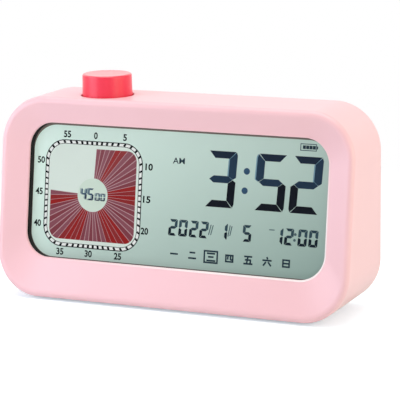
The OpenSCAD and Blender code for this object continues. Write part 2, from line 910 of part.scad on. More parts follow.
// Small board under the top wall that carries the encoder
module encoder_board() {
  color(board_green)
    difference() {
      translate([knob_x - enc_board_w / 2, knob_y - enc_side / 2, enc_board_z])
        cube([enc_board_w, enc_side, enc_board_t]);
      for (p = enc_screw_places)
        translate([p[0], p[1], enc_board_z - cut])
          cylinder(d = small_screw_d + 2 * screw_play, h = enc_board_t + 2 * cut);
    }
}

// Screws that hold the encoder board to its two posts
module encoder_screws() {
  color(steel)
    for (p = enc_screw_places)
      translate([p[0], p[1], enc_board_z - bond])
        rotate([90, 0, 0])
          back_screw(small_screw_d, enc_screw_len, small_head_d, small_head_h);
}

// Plastic base of the encoder with the stepped well for rotor and dome
module encoder_base() {
  color(black)
    translate([knob_x, knob_y, base_z + bond])
      difference() {
        translate([-enc_side / 2, -enc_side / 2, 0])
          cube([enc_side, enc_side, enc_base_h - bond]);
        translate([0, 0, base_floor - bond])
          cylinder(d = rotor_d - 2 * rotor_ledge, h = enc_base_h);
        translate([0, 0, rotor_z - base_z - rest_gap - bond])
          cylinder(d = rotor_d + 2 * rotor_side_play, h = enc_base_h);
      }
}

// Snap dome that clicks when the knob is pushed
module push_dome() {
  dome_r = drive_side * 0.8;
  ball_r = (dome_r * dome_r + dome_h * dome_h) / (2 * dome_h);
  color(steel)
    translate([knob_x, knob_y, base_z + base_floor + bond])
      rotate_extrude()
        intersection() {
          translate([0, dome_h - bond - ball_r])
            circle(ball_r, $fn = 360);
          square([dome_r + cut, dome_h + cut]);
        }
}

// Steel plate with the bushing that guides the shaft
module encoder_bushing() {
  color(steel)
    translate([knob_x, knob_y, plate_z + bond])
      difference() {
        union() {
          translate([-enc_side / 2, -enc_side / 2, 0])
            cube([enc_side, enc_side, enc_plate_t]);
          cylinder(d = bushing_d, h = enc_plate_t + bushing_h - bond);
        }
        translate([0, 0, -cut])
          cylinder(r = shaft_r + shaft_clear, h = enc_plate_t + bushing_h + 2 * cut);
      }
}

// Disc that the square end of the shaft turns and slides in
module encoder_rotor() {
  slot = drive_side + 2 * rest_gap;
  color(white)
    translate([knob_x, knob_y, rotor_z])
      difference() {
        cylinder(d = rotor_d, h = rotor_t);
        translate([-slot / 2, -slot / 2, -cut])
          cube([slot, slot, rotor_t + 2 * cut]);
      }
}

// Shaft with a square lower end and a flat for the knob
module encoder_shaft() {
  color(steel)
    translate([knob_x, knob_y, 0]) {
      difference() {
        translate([0, 0, shoulder_z])
          cylinder(r = shaft_r, h = shaft_top_z - shoulder_z);
        translate([-shaft_r, shaft_r - flat_depth, boss_z])
          cube([shaft_d, shaft_d, shaft_top_z]);
      }
      translate([-drive_side / 2, -drive_side / 2, shaft_end_z])
        cube([drive_side, drive_side, shoulder_z - shaft_end_z]);
    }
}

// Red knob: a turned cap with a boss that takes the flatted shaft
module knob() {
  h = knob_top_z - knob_z;
  bore_r = shaft_r + bond;
  color(red)
    translate([knob_x, knob_y, knob_z])
      difference() {
        union() {
          rotate_extrude()
            difference() {
              union() {
                polygon([
                  [0, 0], [knob_r, 0], [knob_top_r, h - knob_round],
                  [knob_top_r - knob_round, h], [0, h]
                ]);
                translate([knob_top_r - knob_round, h - knob_round])
                  circle(knob_round);
              }
              translate([-knob_r, 0])
                square([knob_r, h + cut]);
              translate([0, -cut])
                square([knob_r - knob_wall, knob_ceiling - knob_z + cut]);
            }
          translate([0, 0, boss_z - knob_z])
            cylinder(r = boss_r, h = knob_ceiling - boss_z + eps);
        }
        translate([0, 0, boss_z - knob_z - cut])
          difference() {
            cylinder(r = bore_r, h = shaft_top_z - boss_z + cut + 2 * rest_gap);
            translate([-shaft_d, shaft_r - flat_depth + bond, 0])
              cube([2 * shaft_d, shaft_d, shaft_top_z]);
          }
      }
}

// Board behind the rear controls
module key_board() {
  color(board_green)
    translate([0, key_y - key_board_t, key_z])
      difference() {
        plate(key_board_t)
          square([key_board_w, key_board_h], center = true);
        for (p = key_posts)
          translate([p[0], -cut, p[1] - key_z])
            rod(small_screw_d + 2 * screw_play, key_board_t + 2 * cut);
      }
}

// Screws that hold the key board to the cover
module key_board_screws() {
  color(steel)
    for (p = key_posts)
      translate([p[0], key_y - key_board_t - bond, p[1]])
        back_screw(small_screw_d, small_len, small_head_d, small_head_h);
}

// Switches under the push buttons
module tact_switches() {
  color(black)
    for (x = button_x)
      translate([x, key_y + bond, key_z]) {
        plate(switch_h - bond)
          square([switch_side, switch_side], center = true);
        rod(switch_side * 0.55, switch_h + plunger_h - bond);
      }
}

// One push button: cap, flange and stem in one turned piece
module push_button(i) {
  cap = cover_t + cover_recess + button_proud + rest_gap;
  crown = 0.5;
  color(pink)
    translate([button_x[i], cover_y - rest_gap, key_z])
      rotate([-90, 0, 0])
        rotate_extrude()
          polygon([
            [0, -flange_t - stem_len], [button_d * 0.25, -flange_t - stem_len],
            [button_d * 0.25, -flange_t], [button_d / 2 + flange_w, -flange_t],
            [button_d / 2 + flange_w, 0], [button_d / 2, 0],
            [button_d / 2, cap - crown], [button_d / 2 - crown, cap], [0, cap]
          ]);
}

module set_button() { push_button(0); }
module up_button() { push_button(1); }
module down_button() { push_button(2); }
module alarm_button() { push_button(3); }

// Body of the volume switch on the key board
module volume_switch() {
  color(steel)
    translate([slider_x, key_y + bond, key_z])
      plate(slide_t)
        square([slide_w, slide_h], center = true);
}

// Slider of the volume switch: grip, flange and the foot on the switch
module volume_slider() {
  foot = key_gap - flange_t - slide_t - 3 * rest_gap;
  color(black)
    translate([slider_x, cover_y - rest_gap, key_z]) {
      translate([-slide_flange_w / 2, -flange_t, -slide_flange_h / 2])
        cube([slide_flange_w, flange_t, slide_flange_h]);
      difference() {
        translate([-grip_w / 2, -eps, -grip_h / 2])
          cube([grip_w, cover_t + grip_proud + rest_gap, grip_h]);
        for (i = [-1:1])
          translate([i * grip_w / 4 - groove_w / 2, cover_t + grip_proud - groove_d, -grip_h])
            cube([groove_w, groove_d + cut, 2 * grip_h]);
      }
      translate([-grip_w / 4, -flange_t - foot, -grip_h / 2])
        cube([grip_w / 2, foot + eps, grip_h]);
    }
}

// Steel shell of the upright USB socket
module usb_shell() {
  len = key_gap + cover_t - usb_back;
  color(steel)
    translate([usb_x, key_y + bond, key_z])
      difference() {
        plate(len)
          rounded(usb_w, usb_h, usb_h / 2 - eps);
        translate([0, usb_floor, 0])
          plate(len)
            rounded(usb_w - 2 * usb_wall, usb_h - 2 * usb_wall, usb_h / 2 - usb_wall - eps);
      }
}

// Contact tongue inside the USB shell
module usb_tongue() {
  len = key_gap + cover_t - 2 * usb_back - usb_floor;
  color(black)
    translate([usb_x, key_y + usb_floor + 2 * bond, key_z])
      plate(len)
        square([usb_w - 2 * (usb_wall + tongue_gap), tongue_t], center = true);
}

// Flat pouch cell on the inside of the cover
module battery_cell() {
  color(steel)
    translate([cell_x, cover_y - tape_t - cell_t, cell_z])
      difference() {
        plate(cell_t - bond)
          rounded(cell_w, cell_h, cell_r);
        translate([-cell_w / 2 - cut, -cut, cell_h / 2 - cell_fold])
          cube([cell_w + 2 * cut, cell_t / 2 + cut, cell_fold + cut]);
      }
}

// Tape that holds the cell
module battery_tape() {
  color(white)
    translate([cell_x, cover_y - tape_t, cell_z])
      plate(tape_t - bond)
        square([cell_w - 2 * tape_inset, cell_h - 2 * tape_inset], center = true);
}

// Steel basket of the speaker
module speaker_basket() {
  color(steel)
    translate([speaker_x, basket_y, speaker_z])
      rotate([-90, 0, 0])
        rotate_extrude()
          polygon([
            [0, 0], [throat_r + basket_t, 0],
            [speaker_r - basket_rim, speaker_h - basket_t], [speaker_r, speaker_h - basket_t],
            [speaker_r, speaker_h - bond], [speaker_r - basket_rim - basket_t / 2, speaker_h - bond],
            [throat_r, basket_t], [0, basket_t]
          ]);
}

// Magnet at the inner end of the speaker
module speaker_magnet() {
  color([0.3, 0.3, 0.32])
    translate([speaker_x, basket_y - magnet_h, speaker_z])
      rod(2 * throat_r, magnet_h - bond);
}

// Paper cone with its dust cap
module speaker_cone() {
  edge_r = speaker_r - basket_rim - 2 * basket_t;
  foot_r = throat_r - basket_t;
  cap_r = throat_r / 2;
  low = basket_t + bond;
  color([0.15, 0.15, 0.16])
    translate([speaker_x, basket_y, speaker_z])
      rotate([-90, 0, 0])
        rotate_extrude()
          polygon([
            [0, low], [foot_r, low], [edge_r, speaker_h - cone_t], [edge_r, speaker_h - bond],
            [edge_r - 3 * cone_t, speaker_h - cone_t], [foot_r - cone_t, low + cone_t],
            [cap_r, low + cone_t], [0, low + 2 * cone_t]
          ]);
}

// Foam ring between the speaker and the cover
module speaker_gasket() {
  color(black)
    translate([speaker_x, cover_y - speaker_gasket_t, speaker_z])
      difference() {
        rod(speaker_d, speaker_gasket_t - bond);
        translate([0, -cut, 0])
          rod(speaker_d - 2 * gasket_w, speaker_gasket_t + 2 * cut);
      }
}

front_housing();
rear_cover();
cover_screws();
foot_pads();
display_lens();
lens_gasket();
front_polariser();
front_glass();
rear_glass();
rear_reflector();
light_guide();
backlight_leds();
lcd_holder();
zebra_strip();
main_board();
controller_blob();
board_connectors();
board_screws();
encoder_board();
encoder_screws();
encoder_base();
push_dome();
encoder_bushing();
encoder_rotor();
encoder_shaft();
knob();
key_board();
key_board_screws();
tact_switches();
set_button();
up_button();
down_button();
alarm_button();
volume_switch();
volume_slider();
usb_shell();
usb_tongue();
battery_cell();
battery_tape();
speaker_basket();
speaker_magnet();
speaker_cone();
speaker_gasket();
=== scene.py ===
"""Looks of a pink desk timer with a leaning display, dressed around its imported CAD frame.

Sizes in the classes are millimetres, and meshes are made in metres in the frame of the CAD.
"""
import logging
import math
from collections.abc import Callable, Iterable, Sequence
from dataclasses import dataclass, replace
from enum import Enum, IntEnum
from typing import Union

import bmesh
import bpy
from mathutils import Matrix, Vector


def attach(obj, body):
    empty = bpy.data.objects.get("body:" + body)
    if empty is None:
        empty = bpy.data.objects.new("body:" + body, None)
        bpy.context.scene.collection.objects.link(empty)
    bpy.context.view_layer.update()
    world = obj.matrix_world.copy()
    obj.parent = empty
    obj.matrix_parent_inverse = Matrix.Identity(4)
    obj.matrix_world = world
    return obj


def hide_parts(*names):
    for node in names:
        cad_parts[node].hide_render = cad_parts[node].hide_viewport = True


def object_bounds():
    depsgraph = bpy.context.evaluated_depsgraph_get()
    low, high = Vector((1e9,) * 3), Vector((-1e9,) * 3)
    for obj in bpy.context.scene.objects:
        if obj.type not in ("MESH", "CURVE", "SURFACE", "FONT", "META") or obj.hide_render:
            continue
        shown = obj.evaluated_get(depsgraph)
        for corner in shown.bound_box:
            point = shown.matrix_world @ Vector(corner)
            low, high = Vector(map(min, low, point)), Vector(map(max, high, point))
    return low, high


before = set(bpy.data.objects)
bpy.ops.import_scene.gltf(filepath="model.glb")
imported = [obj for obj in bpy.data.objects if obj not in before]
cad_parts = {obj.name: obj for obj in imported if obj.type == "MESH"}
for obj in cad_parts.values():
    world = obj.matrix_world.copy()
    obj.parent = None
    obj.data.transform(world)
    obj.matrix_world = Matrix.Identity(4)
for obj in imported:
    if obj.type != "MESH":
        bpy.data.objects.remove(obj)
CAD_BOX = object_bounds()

Colour = tuple[float, float, float, float]
Flat = tuple[float, float]
Solid = tuple[float, float, float]
Feed = Union[bpy.types.NodeSocket, float, Sequence[float], bpy.types.ID]

LOG = logging.getLogger("timer")
MM = 0.001
SMOOTH_ANGLE = math.radians(32)
MERGE = 0.001 * MM
TINY = 1e-9
TURN_SEED = 7
WHITE = (1.0, 1.0, 1.0, 1.0)


class Slot(Enum):
    """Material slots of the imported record."""

    HOUSING = "housing_pink"
    BUTTON = "button_pink"
    KNOB = "knob_red"
    LENS = "lens_clear"
    GASKET = "gasket_black"
    FILM = "display_film"
    GLASS = "display_glass"
    GUIDE = "light_guide"
    LED = "led_epoxy"
    HOLDER = "holder_white"
    CONTACT = "contact_rubber"
    BOARD = "board_laminate"
    SEAL = "sealing_epoxy"
    STEEL = "steel_plated"
    BLACK = "moulding_black"
    FOOT = "foot_rubber"
    CELL = "cell_pouch"
    TAPE = "tape_white"
    MAGNET = "magnet_grey"
    CONE = "cone_paper"


class Body(Enum):
    """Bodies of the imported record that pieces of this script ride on."""

    CASE = "case"
    KNOB = "knob"
    SLIDER = "slider"
    SET = "set_button"
    UP = "up_button"
    DOWN = "down_button"
    ALARM = "alarm_button"


def srgb(red: int, green: int, blue: int) -> Colour:
    """Turns a colour as a picture shows it into linear light, by the sRGB curve.

    Args:
        red: Red share from 0 to 255.
        green: Green share from 0 to 255.
        blue: Blue share from 0 to 255.

    Returns:
        The linear colour with full alpha.
    """
    shares = [value / 255 for value in (red, green, blue)]
    linear = [s / 12.92 if s <= 0.04045 else ((s + 0.055) / 1.055) ** 2.4 for s in shares]
    return (linear[0], linear[1], linear[2], 1.0)


class NodeSheet:
    """Adds and links the nodes of one tree."""

    def __init__(self, tree: bpy.types.NodeTree) -> None:
        """Keeps a tree and empties it."""
        self.tree = tree
        tree.nodes.clear()

    @classmethod
    def of(cls, owner: bpy.types.ID) -> "NodeSheet":
        """Gives the emptied nodes of a material or a world."""
        owner.use_nodes = True
        return cls(owner.node_tree)

    def add(self, kind: str, **settings: object) -> bpy.types.Node:
        """Adds a node.

        Args:
            kind: Type name of the node.
            settings: Properties to set on it.

        Returns:
            The new node.
        """
        node = self.tree.nodes.new(kind)
        for key, value in settings.items():
            setattr(node, key, value)
        return node

    def feed(self, socket: bpy.types.NodeSocket, value: Feed) -> None:
        """Links a socket to another one, or sets its value.

        Args:
            socket: The input that is fed.
            value: An output to link from, or a plain value.
        """
        if isinstance(value, bpy.types.NodeSocket):
            self.tree.links.new(value, socket)
        else:
            socket.default_value = value

    def made(self, kind: str, feeds: dict[str, Feed], **settings: object) -> bpy.types.Node:
        """Adds a node and feeds its inputs by name.

        Args:
            kind: Type name of the node.
            feeds: Input names and what feeds them.
            settings: Properties to set on it.

        Returns:
            The new node.
        """
        node = self.add(kind, **settings)
        for name, value in feeds.items():
            self.feed(node.inputs[name], value)
        return node

    def ordered(self, kind: str, *feeds: Feed, **settings: object) -> bpy.types.Node:
        """Adds a node and feeds its inputs in their order.

        Args:
            kind: Type name of the node.
            feeds: What feeds its first inputs.
            settings: Properties to set on it.

        Returns:
            The new node.
        """
        node = self.add(kind, **settings)
        for socket, value in zip(node.inputs, feeds):
            self.feed(socket, value)
        return node

    def math(self, operation: str, first: Feed, second: Feed = 0.0) -> bpy.types.NodeSocket:
        """Adds a math node.

        Args:
            operation: Name of the operation.
            first: First operand.
            second: Second operand.

        Returns:
            The output of the node.
        """
        return self.ordered("ShaderNodeMath", first, second, operation=operation).outputs[0]

    def blend(self, share: Feed, first: Feed, second: Feed) -> bpy.types.NodeSocket:
        """Mixes two colours.

        Args:
            share: Share of the second colour.
            first: First colour.
            second: Second colour.

        Returns:
            The mixed colour.
        """
        node = self.add("ShaderNodeMix", data_type="RGBA")
        colours = [socket for socket in node.inputs if socket.type == "RGBA"]
        self.feed(node.inputs[0], share)
        self.feed(colours[0], first)
        self.feed(colours[1], second)
        return next(socket for socket in node.outputs if socket.type == "RGBA")

    def scaled(self, colour: bpy.types.NodeSocket, gain: Feed) -> bpy.types.NodeSocket:
        """Multiplies a colour by a gain.

        Args:
            colour: The colour.
            gain: The gain.

        Returns:
            The scaled colour.
        """
        node = self.ordered("ShaderNodeVectorMath", colour, operation="SCALE")
        self.feed(node.inputs["Scale"], gain)
        return node.outputs["Vector"]

    def ramp(
        self, value: Feed, start: Feed, end: Feed, low: Feed = 0.0, high: Feed = 1.0, smooth: bool = False
    ) -> bpy.types.NodeSocket:
        """Maps a value from one range to another and keeps it inside.

        Args:
            value: The value.
            start: Value that gives the low result.
            end: Value that gives the high result.
            low: The low result.
            high: The high result.
            smooth: True to ease at both ends.

        Returns:
            The mapped value.
        """
        feeds = {"Value": value, "From Min": start, "From Max": end, "To Min": low, "To Max": high}
        style = "SMOOTHSTEP" if smooth else "LINEAR"
        return self.made("ShaderNodeMapRange", feeds, interpolation_type=style).outputs["Result"]

    def noise(self, place: Feed, scale: Feed, detail: float) -> bpy.types.NodeSocket:
        """Adds a noise texture and gives its plain value."""
        feeds = {"Vector": place, "Scale": scale, "Detail": detail}
        return self.made("ShaderNodeTexNoise", feeds).outputs["Fac"]

    def axes(self, place: Feed) -> bpy.types.NodeOutputs:
        """Splits a vector into its X, Y and Z."""
        return self.made("ShaderNodeSeparateXYZ", {"Vector": place}).outputs

    def socket(self, name: str, kind: str, into: bool = True) -> str:
        """Adds a socket to the face of a group.

        Args:
            name: Name of the socket.
            kind: Type name of the socket.
            into: True for an input.

        Returns:
            The identifier of the socket.
        """
        way = "INPUT" if into else "OUTPUT"
        return self.tree.interface.new_socket(name, in_out=way, socket_type=kind).identifier


SHADER_INPUTS = {
    "Vector": "NodeSocketVector",
    "Color": "NodeSocketColor",
    "Drift": "NodeSocketFloat",
    "Scale": "NodeSocketFloat",
    "Roughness": "NodeSocketFloat",
    "Spread": "NodeSocketFloat",
}
SHADER_OUTPUTS = {
    "Color": "NodeSocketColor",
    "Roughness": "NodeSocketFloat",
    "Height": "NodeSocketFloat",
}
BRUSH_STRETCH = (1.0, 0.04, 1.0)
CLOUD_SHARE = 0.015
CLOUD_DETAIL = 2.0
FINE_DETAIL = 3.0
NOISE_MEAN = 0.5
DRIFT_GAIN = 4.0


class Texture(Enum):
    """Shader groups that several finishes share."""

    GRAIN = "moulded_grain"
    BRUSHED = "brushed_lines"

    def group(self) -> bpy.types.NodeTree:
        """Gives the group, built on first use.

        Returns:
            The node group, with colour, roughness and height that vary over the surface.
        """
        found = bpy.data.node_groups.get(self.value)
        if found is not None:
            return found
        tree = bpy.data.node_groups.new(self.value, "ShaderNodeTree")
        sheet = NodeSheet(tree)
        for name, kind in SHADER_INPUTS.items():
            sheet.socket(name, kind)
        for name, kind in SHADER_OUTPUTS.items():
            sheet.socket(name, kind, into=False)
        given = sheet.add("NodeGroupInput").outputs
        place = given["Vector"]
        if self is Texture.BRUSHED:
            stretch = sheet.made("ShaderNodeMapping", {"Vector": place, "Scale": BRUSH_STRETCH})
            place = stretch.outputs["Vector"]
        cloud_scale = sheet.math("MULTIPLY", given["Scale"], CLOUD_SHARE)
        cloud = sheet.noise(place, cloud_scale, CLOUD_DETAIL)
        fine = sheet.noise(place, given["Scale"], FINE_DETAIL)
        drift = sheet.math("MULTIPLY", given["Drift"], DRIFT_GAIN)
        swing = sheet.math("MULTIPLY", sheet.math("SUBTRACT", cloud, NOISE_MEAN), drift)
        ripple = sheet.math("MULTIPLY", sheet.math("SUBTRACT", fine, NOISE_MEAN), given["Spread"])
        out = sheet.add("NodeGroupOutput").inputs
        sheet.feed(out["Color"], sheet.scaled(given["Color"], sheet.math("ADD", swing, 1.0)))
        sheet.feed(out["Roughness"], sheet.math("ADD", given["Roughness"], ripple))
        sheet.feed(out["Height"], fine)
        return tree


@dataclass(frozen=True)
class Finish:
    """A surface that pieces are dressed in.

    The texture's colour drift, roughness spread and bump are kept small on smooth mouldings.
    """

    name: str
    slot: Slot
    colour: Colour
    roughness: float = 0.42
    texture: Texture = Texture.GRAIN
    drift: float = 0.01
    spread: float = 0.08
    scale: float = 1800.0
    bump: float = 0.08
    bump_depth: float = 0.03
    metallic: float = 0.0
    specular: float = 0.5
    coat: float = 0.0
    sheen: float = 0.0
    # Painted glow: share of the colour that a part sends out as light though it is no lamp.
    glow: float = 0.0

    def material(self) -> bpy.types.Material:
        """Gives the material, made on first use.

        Returns:
            The material of this finish.
        """
        found = bpy.data.materials.get(self.name)
        if found is not None:
            return found
        made = bpy.data.materials.new(self.name)
        sheet = NodeSheet.of(made)
        shader = sheet.add("ShaderNodeBsdfPrincipled")
        out = sheet.add("ShaderNodeOutputMaterial")
        sheet.feed(out.inputs["Surface"], shader.outputs["BSDF"])
        self.wire(sheet, shader.inputs)
        return made

    def wire(self, sheet: NodeSheet, shader: bpy.types.NodeInputs) -> None:
        """Feeds the shader from the texture group.

        Args:
            sheet: The material's nodes.
            shader: Inputs of the Principled shader.
        """
        place = sheet.add("ShaderNodeTexCoord").outputs["Object"]
        varied = sheet.made("ShaderNodeGroup", {
            "Vector": place,
            "Color": self.ground(sheet, place),
            "Drift": self.drift,
            "Scale": self.scale,
            "Roughness": self.roughness,
            "Spread": self.spread,
        }, node_tree=self.texture.group()).outputs
        relief = {"Strength": self.bump, "Distance": self.bump_depth * MM, "Height": varied["Height"]}
        # A painted glow, where given, sends part of the colour out as light, so that shade falls less on the
        # part.
        colour = sheet.scaled(varied["Color"], 1 / (1 + self.glow))
        surface = {
            "Normal": sheet.made("ShaderNodeBump", relief).outputs["Normal"],
            "Base Color": colour,
            "Emission Color": colour,
            "Roughness": varied["Roughness"],
            "Metallic": self.metallic,
            "Specular IOR Level": self.specular,
            "Coat Weight": self.coat,
            "Sheen Weight": self.sheen,
            "Emission Strength": self.glow,
        }
        for name, value in surface.items():
            sheet.feed(shader[name], value)

    def ground(self, sheet: NodeSheet, place: bpy.types.NodeSocket) -> Feed:
        """Gives the colour before the texture: here the same all over."""
        return self.colour


@dataclass(frozen=True)
class FadeFinish(Finish):
    """Surface with painted light: it fades from a shaded to a lit tone along one direction, and may carry
    more painted light along its left edge.

    The plain sizes are those of the display film, whose painted light makes it paler towards the upper left.
    """

    dark: Colour = srgb(142, 168, 161)
    across: float = -0.37
    upward: float = 0.7
    middle: float = -13.9
    reach: float = 34.0
    # Painted light on the left edge, where the recess would shade it: the span in X and its gain.
    edge: Flat = (-40.0, -58.0)
    painted_edge_light: float = 1.17

    def ground(self, sheet: NodeSheet, place: bpy.types.NodeSocket) -> Feed:
        """Mixes the lit and the shaded colour along one direction as painted light, and paints more light on
        the left edge.

        Args:
            sheet: The material's nodes.
            place: Object coordinates.

        Returns:
            The mixed colour.
        """
        parts = sheet.axes(place)
        side = sheet.math("MULTIPLY", parts["X"], self.across / MM)
        height = sheet.math("MULTIPLY", parts["Z"], self.upward / MM)
        fall = sheet.math("ADD", sheet.math("ADD", side, height), self.middle)
        # Painted light: share of the lit tone along the fall from the shaded to the lit corner.
        share = sheet.ramp(fall, -self.reach, self.reach)
        start, end = (edge * MM for edge in self.edge)
        gain = sheet.ramp(parts["X"], start, end, 1.0, self.painted_edge_light, smooth=True)
        return sheet.scaled(sheet.blend(share, self.dark, self.colour), gain)


@dataclass(frozen=True)
class InkFinish(Finish):
    """Marks of the display, each in the tone that its own faces carry."""

    attribute: str = "ink"

    def ground(self, sheet: NodeSheet, place: bpy.types.NodeSocket) -> Feed:
        """Reads the tone of each face."""
        return sheet.add("ShaderNodeAttribute", attribute_name=self.attribute).outputs["Color"]


@dataclass(frozen=True)
class CapFinish(Finish):
    """Moulding whose flat top carries a stronger sheen than its wall."""

    top: Flat = (78.9, 79.2)
    top_sheen: float = 0.75

    def wire(self, sheet: NodeSheet, shader: bpy.types.NodeInputs) -> None:
        """Adds the sheen by height to the plain surface.

        Args:
            sheet: The material's nodes.
            shader: Inputs of the Principled shader.
        """
        super().wire(sheet, shader)
        place = sheet.add("ShaderNodeTexCoord").outputs["Object"]
        start, end = (height * MM for height in self.top)
        sheen = sheet.ramp(sheet.axes(place)["Z"], start, end, self.sheen, self.top_sheen)
        sheet.feed(shader["Sheen Weight"], sheen)


@dataclass(frozen=True)
class ClearFinish(Finish):
    """Clear sheet that lets the display show and mirrors only at a flat angle."""

    ior: float = 1.49
    haze: float = 0.0
    gleam: float = 0.6
    steep: float = 0.05

    def wire(self, sheet: NodeSheet, shader: bpy.types.NodeInputs) -> None:
        """Adds the see-through share to the plain surface.

        Args:
            sheet: The material's nodes.
            shader: Inputs of the Principled shader.
        """
        super().wire(sheet, shader)
        rim = sheet.made("ShaderNodeFresnel", {"IOR": self.ior}).outputs["Fac"]
        flat = sheet.math("MAXIMUM", sheet.math("SUBTRACT", rim, self.steep), 0.0)
        sheet.feed(shader["Alpha"], sheet.math("ADD", sheet.math("MULTIPLY", flat, self.gleam), self.haze))


class Finishes:
    """The finishes of this timer."""

    PINK = Finish("pink_satin", Slot.HOUSING, srgb(249, 198, 205), roughness=0.34, specular=0.65, sheen=0.3)
    # Painted highlight on the window's rounded edge: pale towards the lower right, plain pink towards the
    # upper left, with a painted glow.
    EDGE_HIGHLIGHT = FadeFinish(
        "edge_gleam", Slot.HOUSING, srgb(255, 240, 240), roughness=0.34, sheen=0.3, glow=0.4,
        dark=srgb(249, 198, 205), across=0.526, upward=-1.25, middle=28.25, reach=18.0, painted_edge_light=1.0,
    )
    BUTTON = Finish("rose_satin", Slot.BUTTON, srgb(243, 172, 186), roughness=0.4)
    RED = CapFinish(
        "red_satin", Slot.KNOB, srgb(248, 16, 64), roughness=0.3, drift=0.006, specular=0.8,
    )
    LENS = ClearFinish("clear_acrylic", Slot.LENS, srgb(40, 46, 46), roughness=0.06, bump=0.01)
    FOAM = Finish("black_foam", Slot.GASKET, srgb(30, 22, 25), roughness=0.85, scale=3500, bump=0.4)
    # Display film with painted light, paler towards the upper left and along its left edge, and a painted
    # glow that keeps the shade of the recess off it.
    FILM = FadeFinish(
        "display_grey", Slot.FILM, srgb(226, 248, 238), roughness=0.5, drift=0.004, bump=0.02, specular=0.0,
        glow=0.9,
    )
    REFLECTOR = Finish("display_reflector", Slot.FILM, srgb(190, 205, 196), roughness=0.45, drift=0.02)
    # The marks carry the same painted glow as the film, against the shade of the recess.
    INK = InkFinish(
        "display_ink", Slot.FILM, srgb(30, 30, 40), roughness=0.5, drift=0.02, bump=0.02, specular=0.0,
        glow=0.9,
    )
    GLASS = ClearFinish("display_glass_sheet", Slot.GLASS, srgb(120, 140, 136), roughness=0.05, haze=0.1)
    GUIDE = Finish("frosted_guide", Slot.GUIDE, srgb(236, 240, 240), roughness=0.55, bump=0.2)
    LED = Finish("led_moulding", Slot.LED, srgb(246, 238, 180), roughness=0.3)
    WHITE = Finish("white_moulding", Slot.HOLDER, srgb(236, 236, 232), roughness=0.5)
    ZEBRA = Finish("layered_rubber", Slot.CONTACT, srgb(62, 62, 68), roughness=0.7, scale=2600)
    BOARD = Finish("solder_mask", Slot.BOARD, srgb(30, 98, 58), roughness=0.35, drift=0.05, coat=0.4)
    SEAL = Finish("sealing_drop", Slot.SEAL, srgb(24, 24, 26), roughness=0.25, drift=0.04)
    STEEL = Finish(
        "plated_steel", Slot.STEEL, srgb(198, 200, 204), roughness=0.3, texture=Texture.BRUSHED,
        metallic=1.0, drift=0.03, spread=0.2, scale=2400,
    )
    BLACK = Finish("black_moulding", Slot.BLACK, srgb(34, 34, 37), roughness=0.5, drift=0.03)
    FOOT = Finish("grey_rubber", Slot.FOOT, srgb(72, 72, 75), roughness=0.8, bump=0.3, drift=0.03)
    POUCH = Finish(
        "foil_pouch", Slot.CELL, srgb(202, 204, 207), roughness=0.35, metallic=1.0, drift=0.03,
        spread=0.25, scale=900, bump=0.25,
    )
    TAPE = Finish("foam_tape", Slot.TAPE, srgb(230, 229, 222), roughness=0.9, scale=3000, bump=0.3)
    MAGNET = Finish("plated_magnet", Slot.MAGNET, srgb(96, 97, 102), roughness=0.4, metallic=0.9, drift=0.05)
    TICK = Finish(
        "track_ink", Slot.FILM, srgb(30, 34, 38), roughness=0.5, drift=0.03, bump=0.02, specular=0.0,
    )
    PAPER = Finish(
        "pressed_paper", Slot.CONE, srgb(46, 45, 48), roughness=0.9, scale=2600, bump=0.5, sheen=0.2,
    )


NODE_LOOKS = {
    "display_lens": Finishes.LENS,
    "lens_gasket": Finishes.FOAM,
    "front_polariser": Finishes.FILM,
    "front_glass": Finishes.GLASS,
    "rear_glass": Finishes.GLASS,
    "rear_reflector": Finishes.REFLECTOR,
    "light_guide": Finishes.GUIDE,
    "backlight_leds": Finishes.LED,
    "lcd_holder": Finishes.WHITE,
    "zebra_strip": Finishes.ZEBRA,
    "main_board": Finishes.BOARD,
    "controller_blob": Finishes.SEAL,
    "board_connectors": Finishes.WHITE,
    "board_screws": Finishes.STEEL,
    "encoder_board": Finishes.BOARD,
    "encoder_screws": Finishes.STEEL,
    "encoder_base": Finishes.BLACK,
    "push_dome": Finishes.STEEL,
    "encoder_bushing": Finishes.STEEL,
    "encoder_rotor": Finishes.WHITE,
    "encoder_shaft": Finishes.STEEL,
    "key_board": Finishes.BOARD,
    "key_board_screws": Finishes.STEEL,
    "tact_switches": Finishes.BLACK,
    "volume_switch": Finishes.STEEL,
    "usb_tongue": Finishes.BLACK,
    "battery_cell": Finishes.POUCH,
    "battery_tape": Finishes.TAPE,
    "speaker_basket": Finishes.STEEL,
    "speaker_magnet": Finishes.MAGNET,
    "speaker_cone": Finishes.PAPER,
    "speaker_gasket": Finishes.FOAM,
}


def dress_nodes() -> None:
    """Gives every CAD node that no piece replaces its material."""
    for name, finish in NODE_LOOKS.items():
        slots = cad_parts[name].data.materials
        slots.clear()
        slots.append(finish.material())
        LOG.info("dressed %s in %s", name, finish.name)


def linked(name: str, data: bpy.types.ID) -> bpy.types.Object:
    """Makes an object and links it to the scene.

    Args:
        name: Name of the object.
        data: Its mesh, curve, lamp or camera.

    Returns:
        The object.
    """
    made = bpy.data.objects.new(name, data)
    bpy.context.scene.collection.objects.link(made)
    return made


def place_piece(
    name: str, mesh: bpy.types.Mesh, finish: Finish, body: Body, replaced: Sequence[str] = ()
) -> None:
    """Links a finished mesh as a piece that rides on a body.

    Args:
        name: Name of the piece.
        mesh: Mesh in metres, in its place.
        finish: Finish of the piece.
        body: Body that it rides on.
        replaced: CAD nodes that it stands for.
    """
    mesh.name = name
    mesh.materials.clear()
    mesh.materials.append(finish.material())
    piece = linked(name, mesh)
    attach(piece, body.value)
    if replaced:
        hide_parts(*replaced)
    LOG.info("built %s with %d faces", name, len(mesh.polygons))


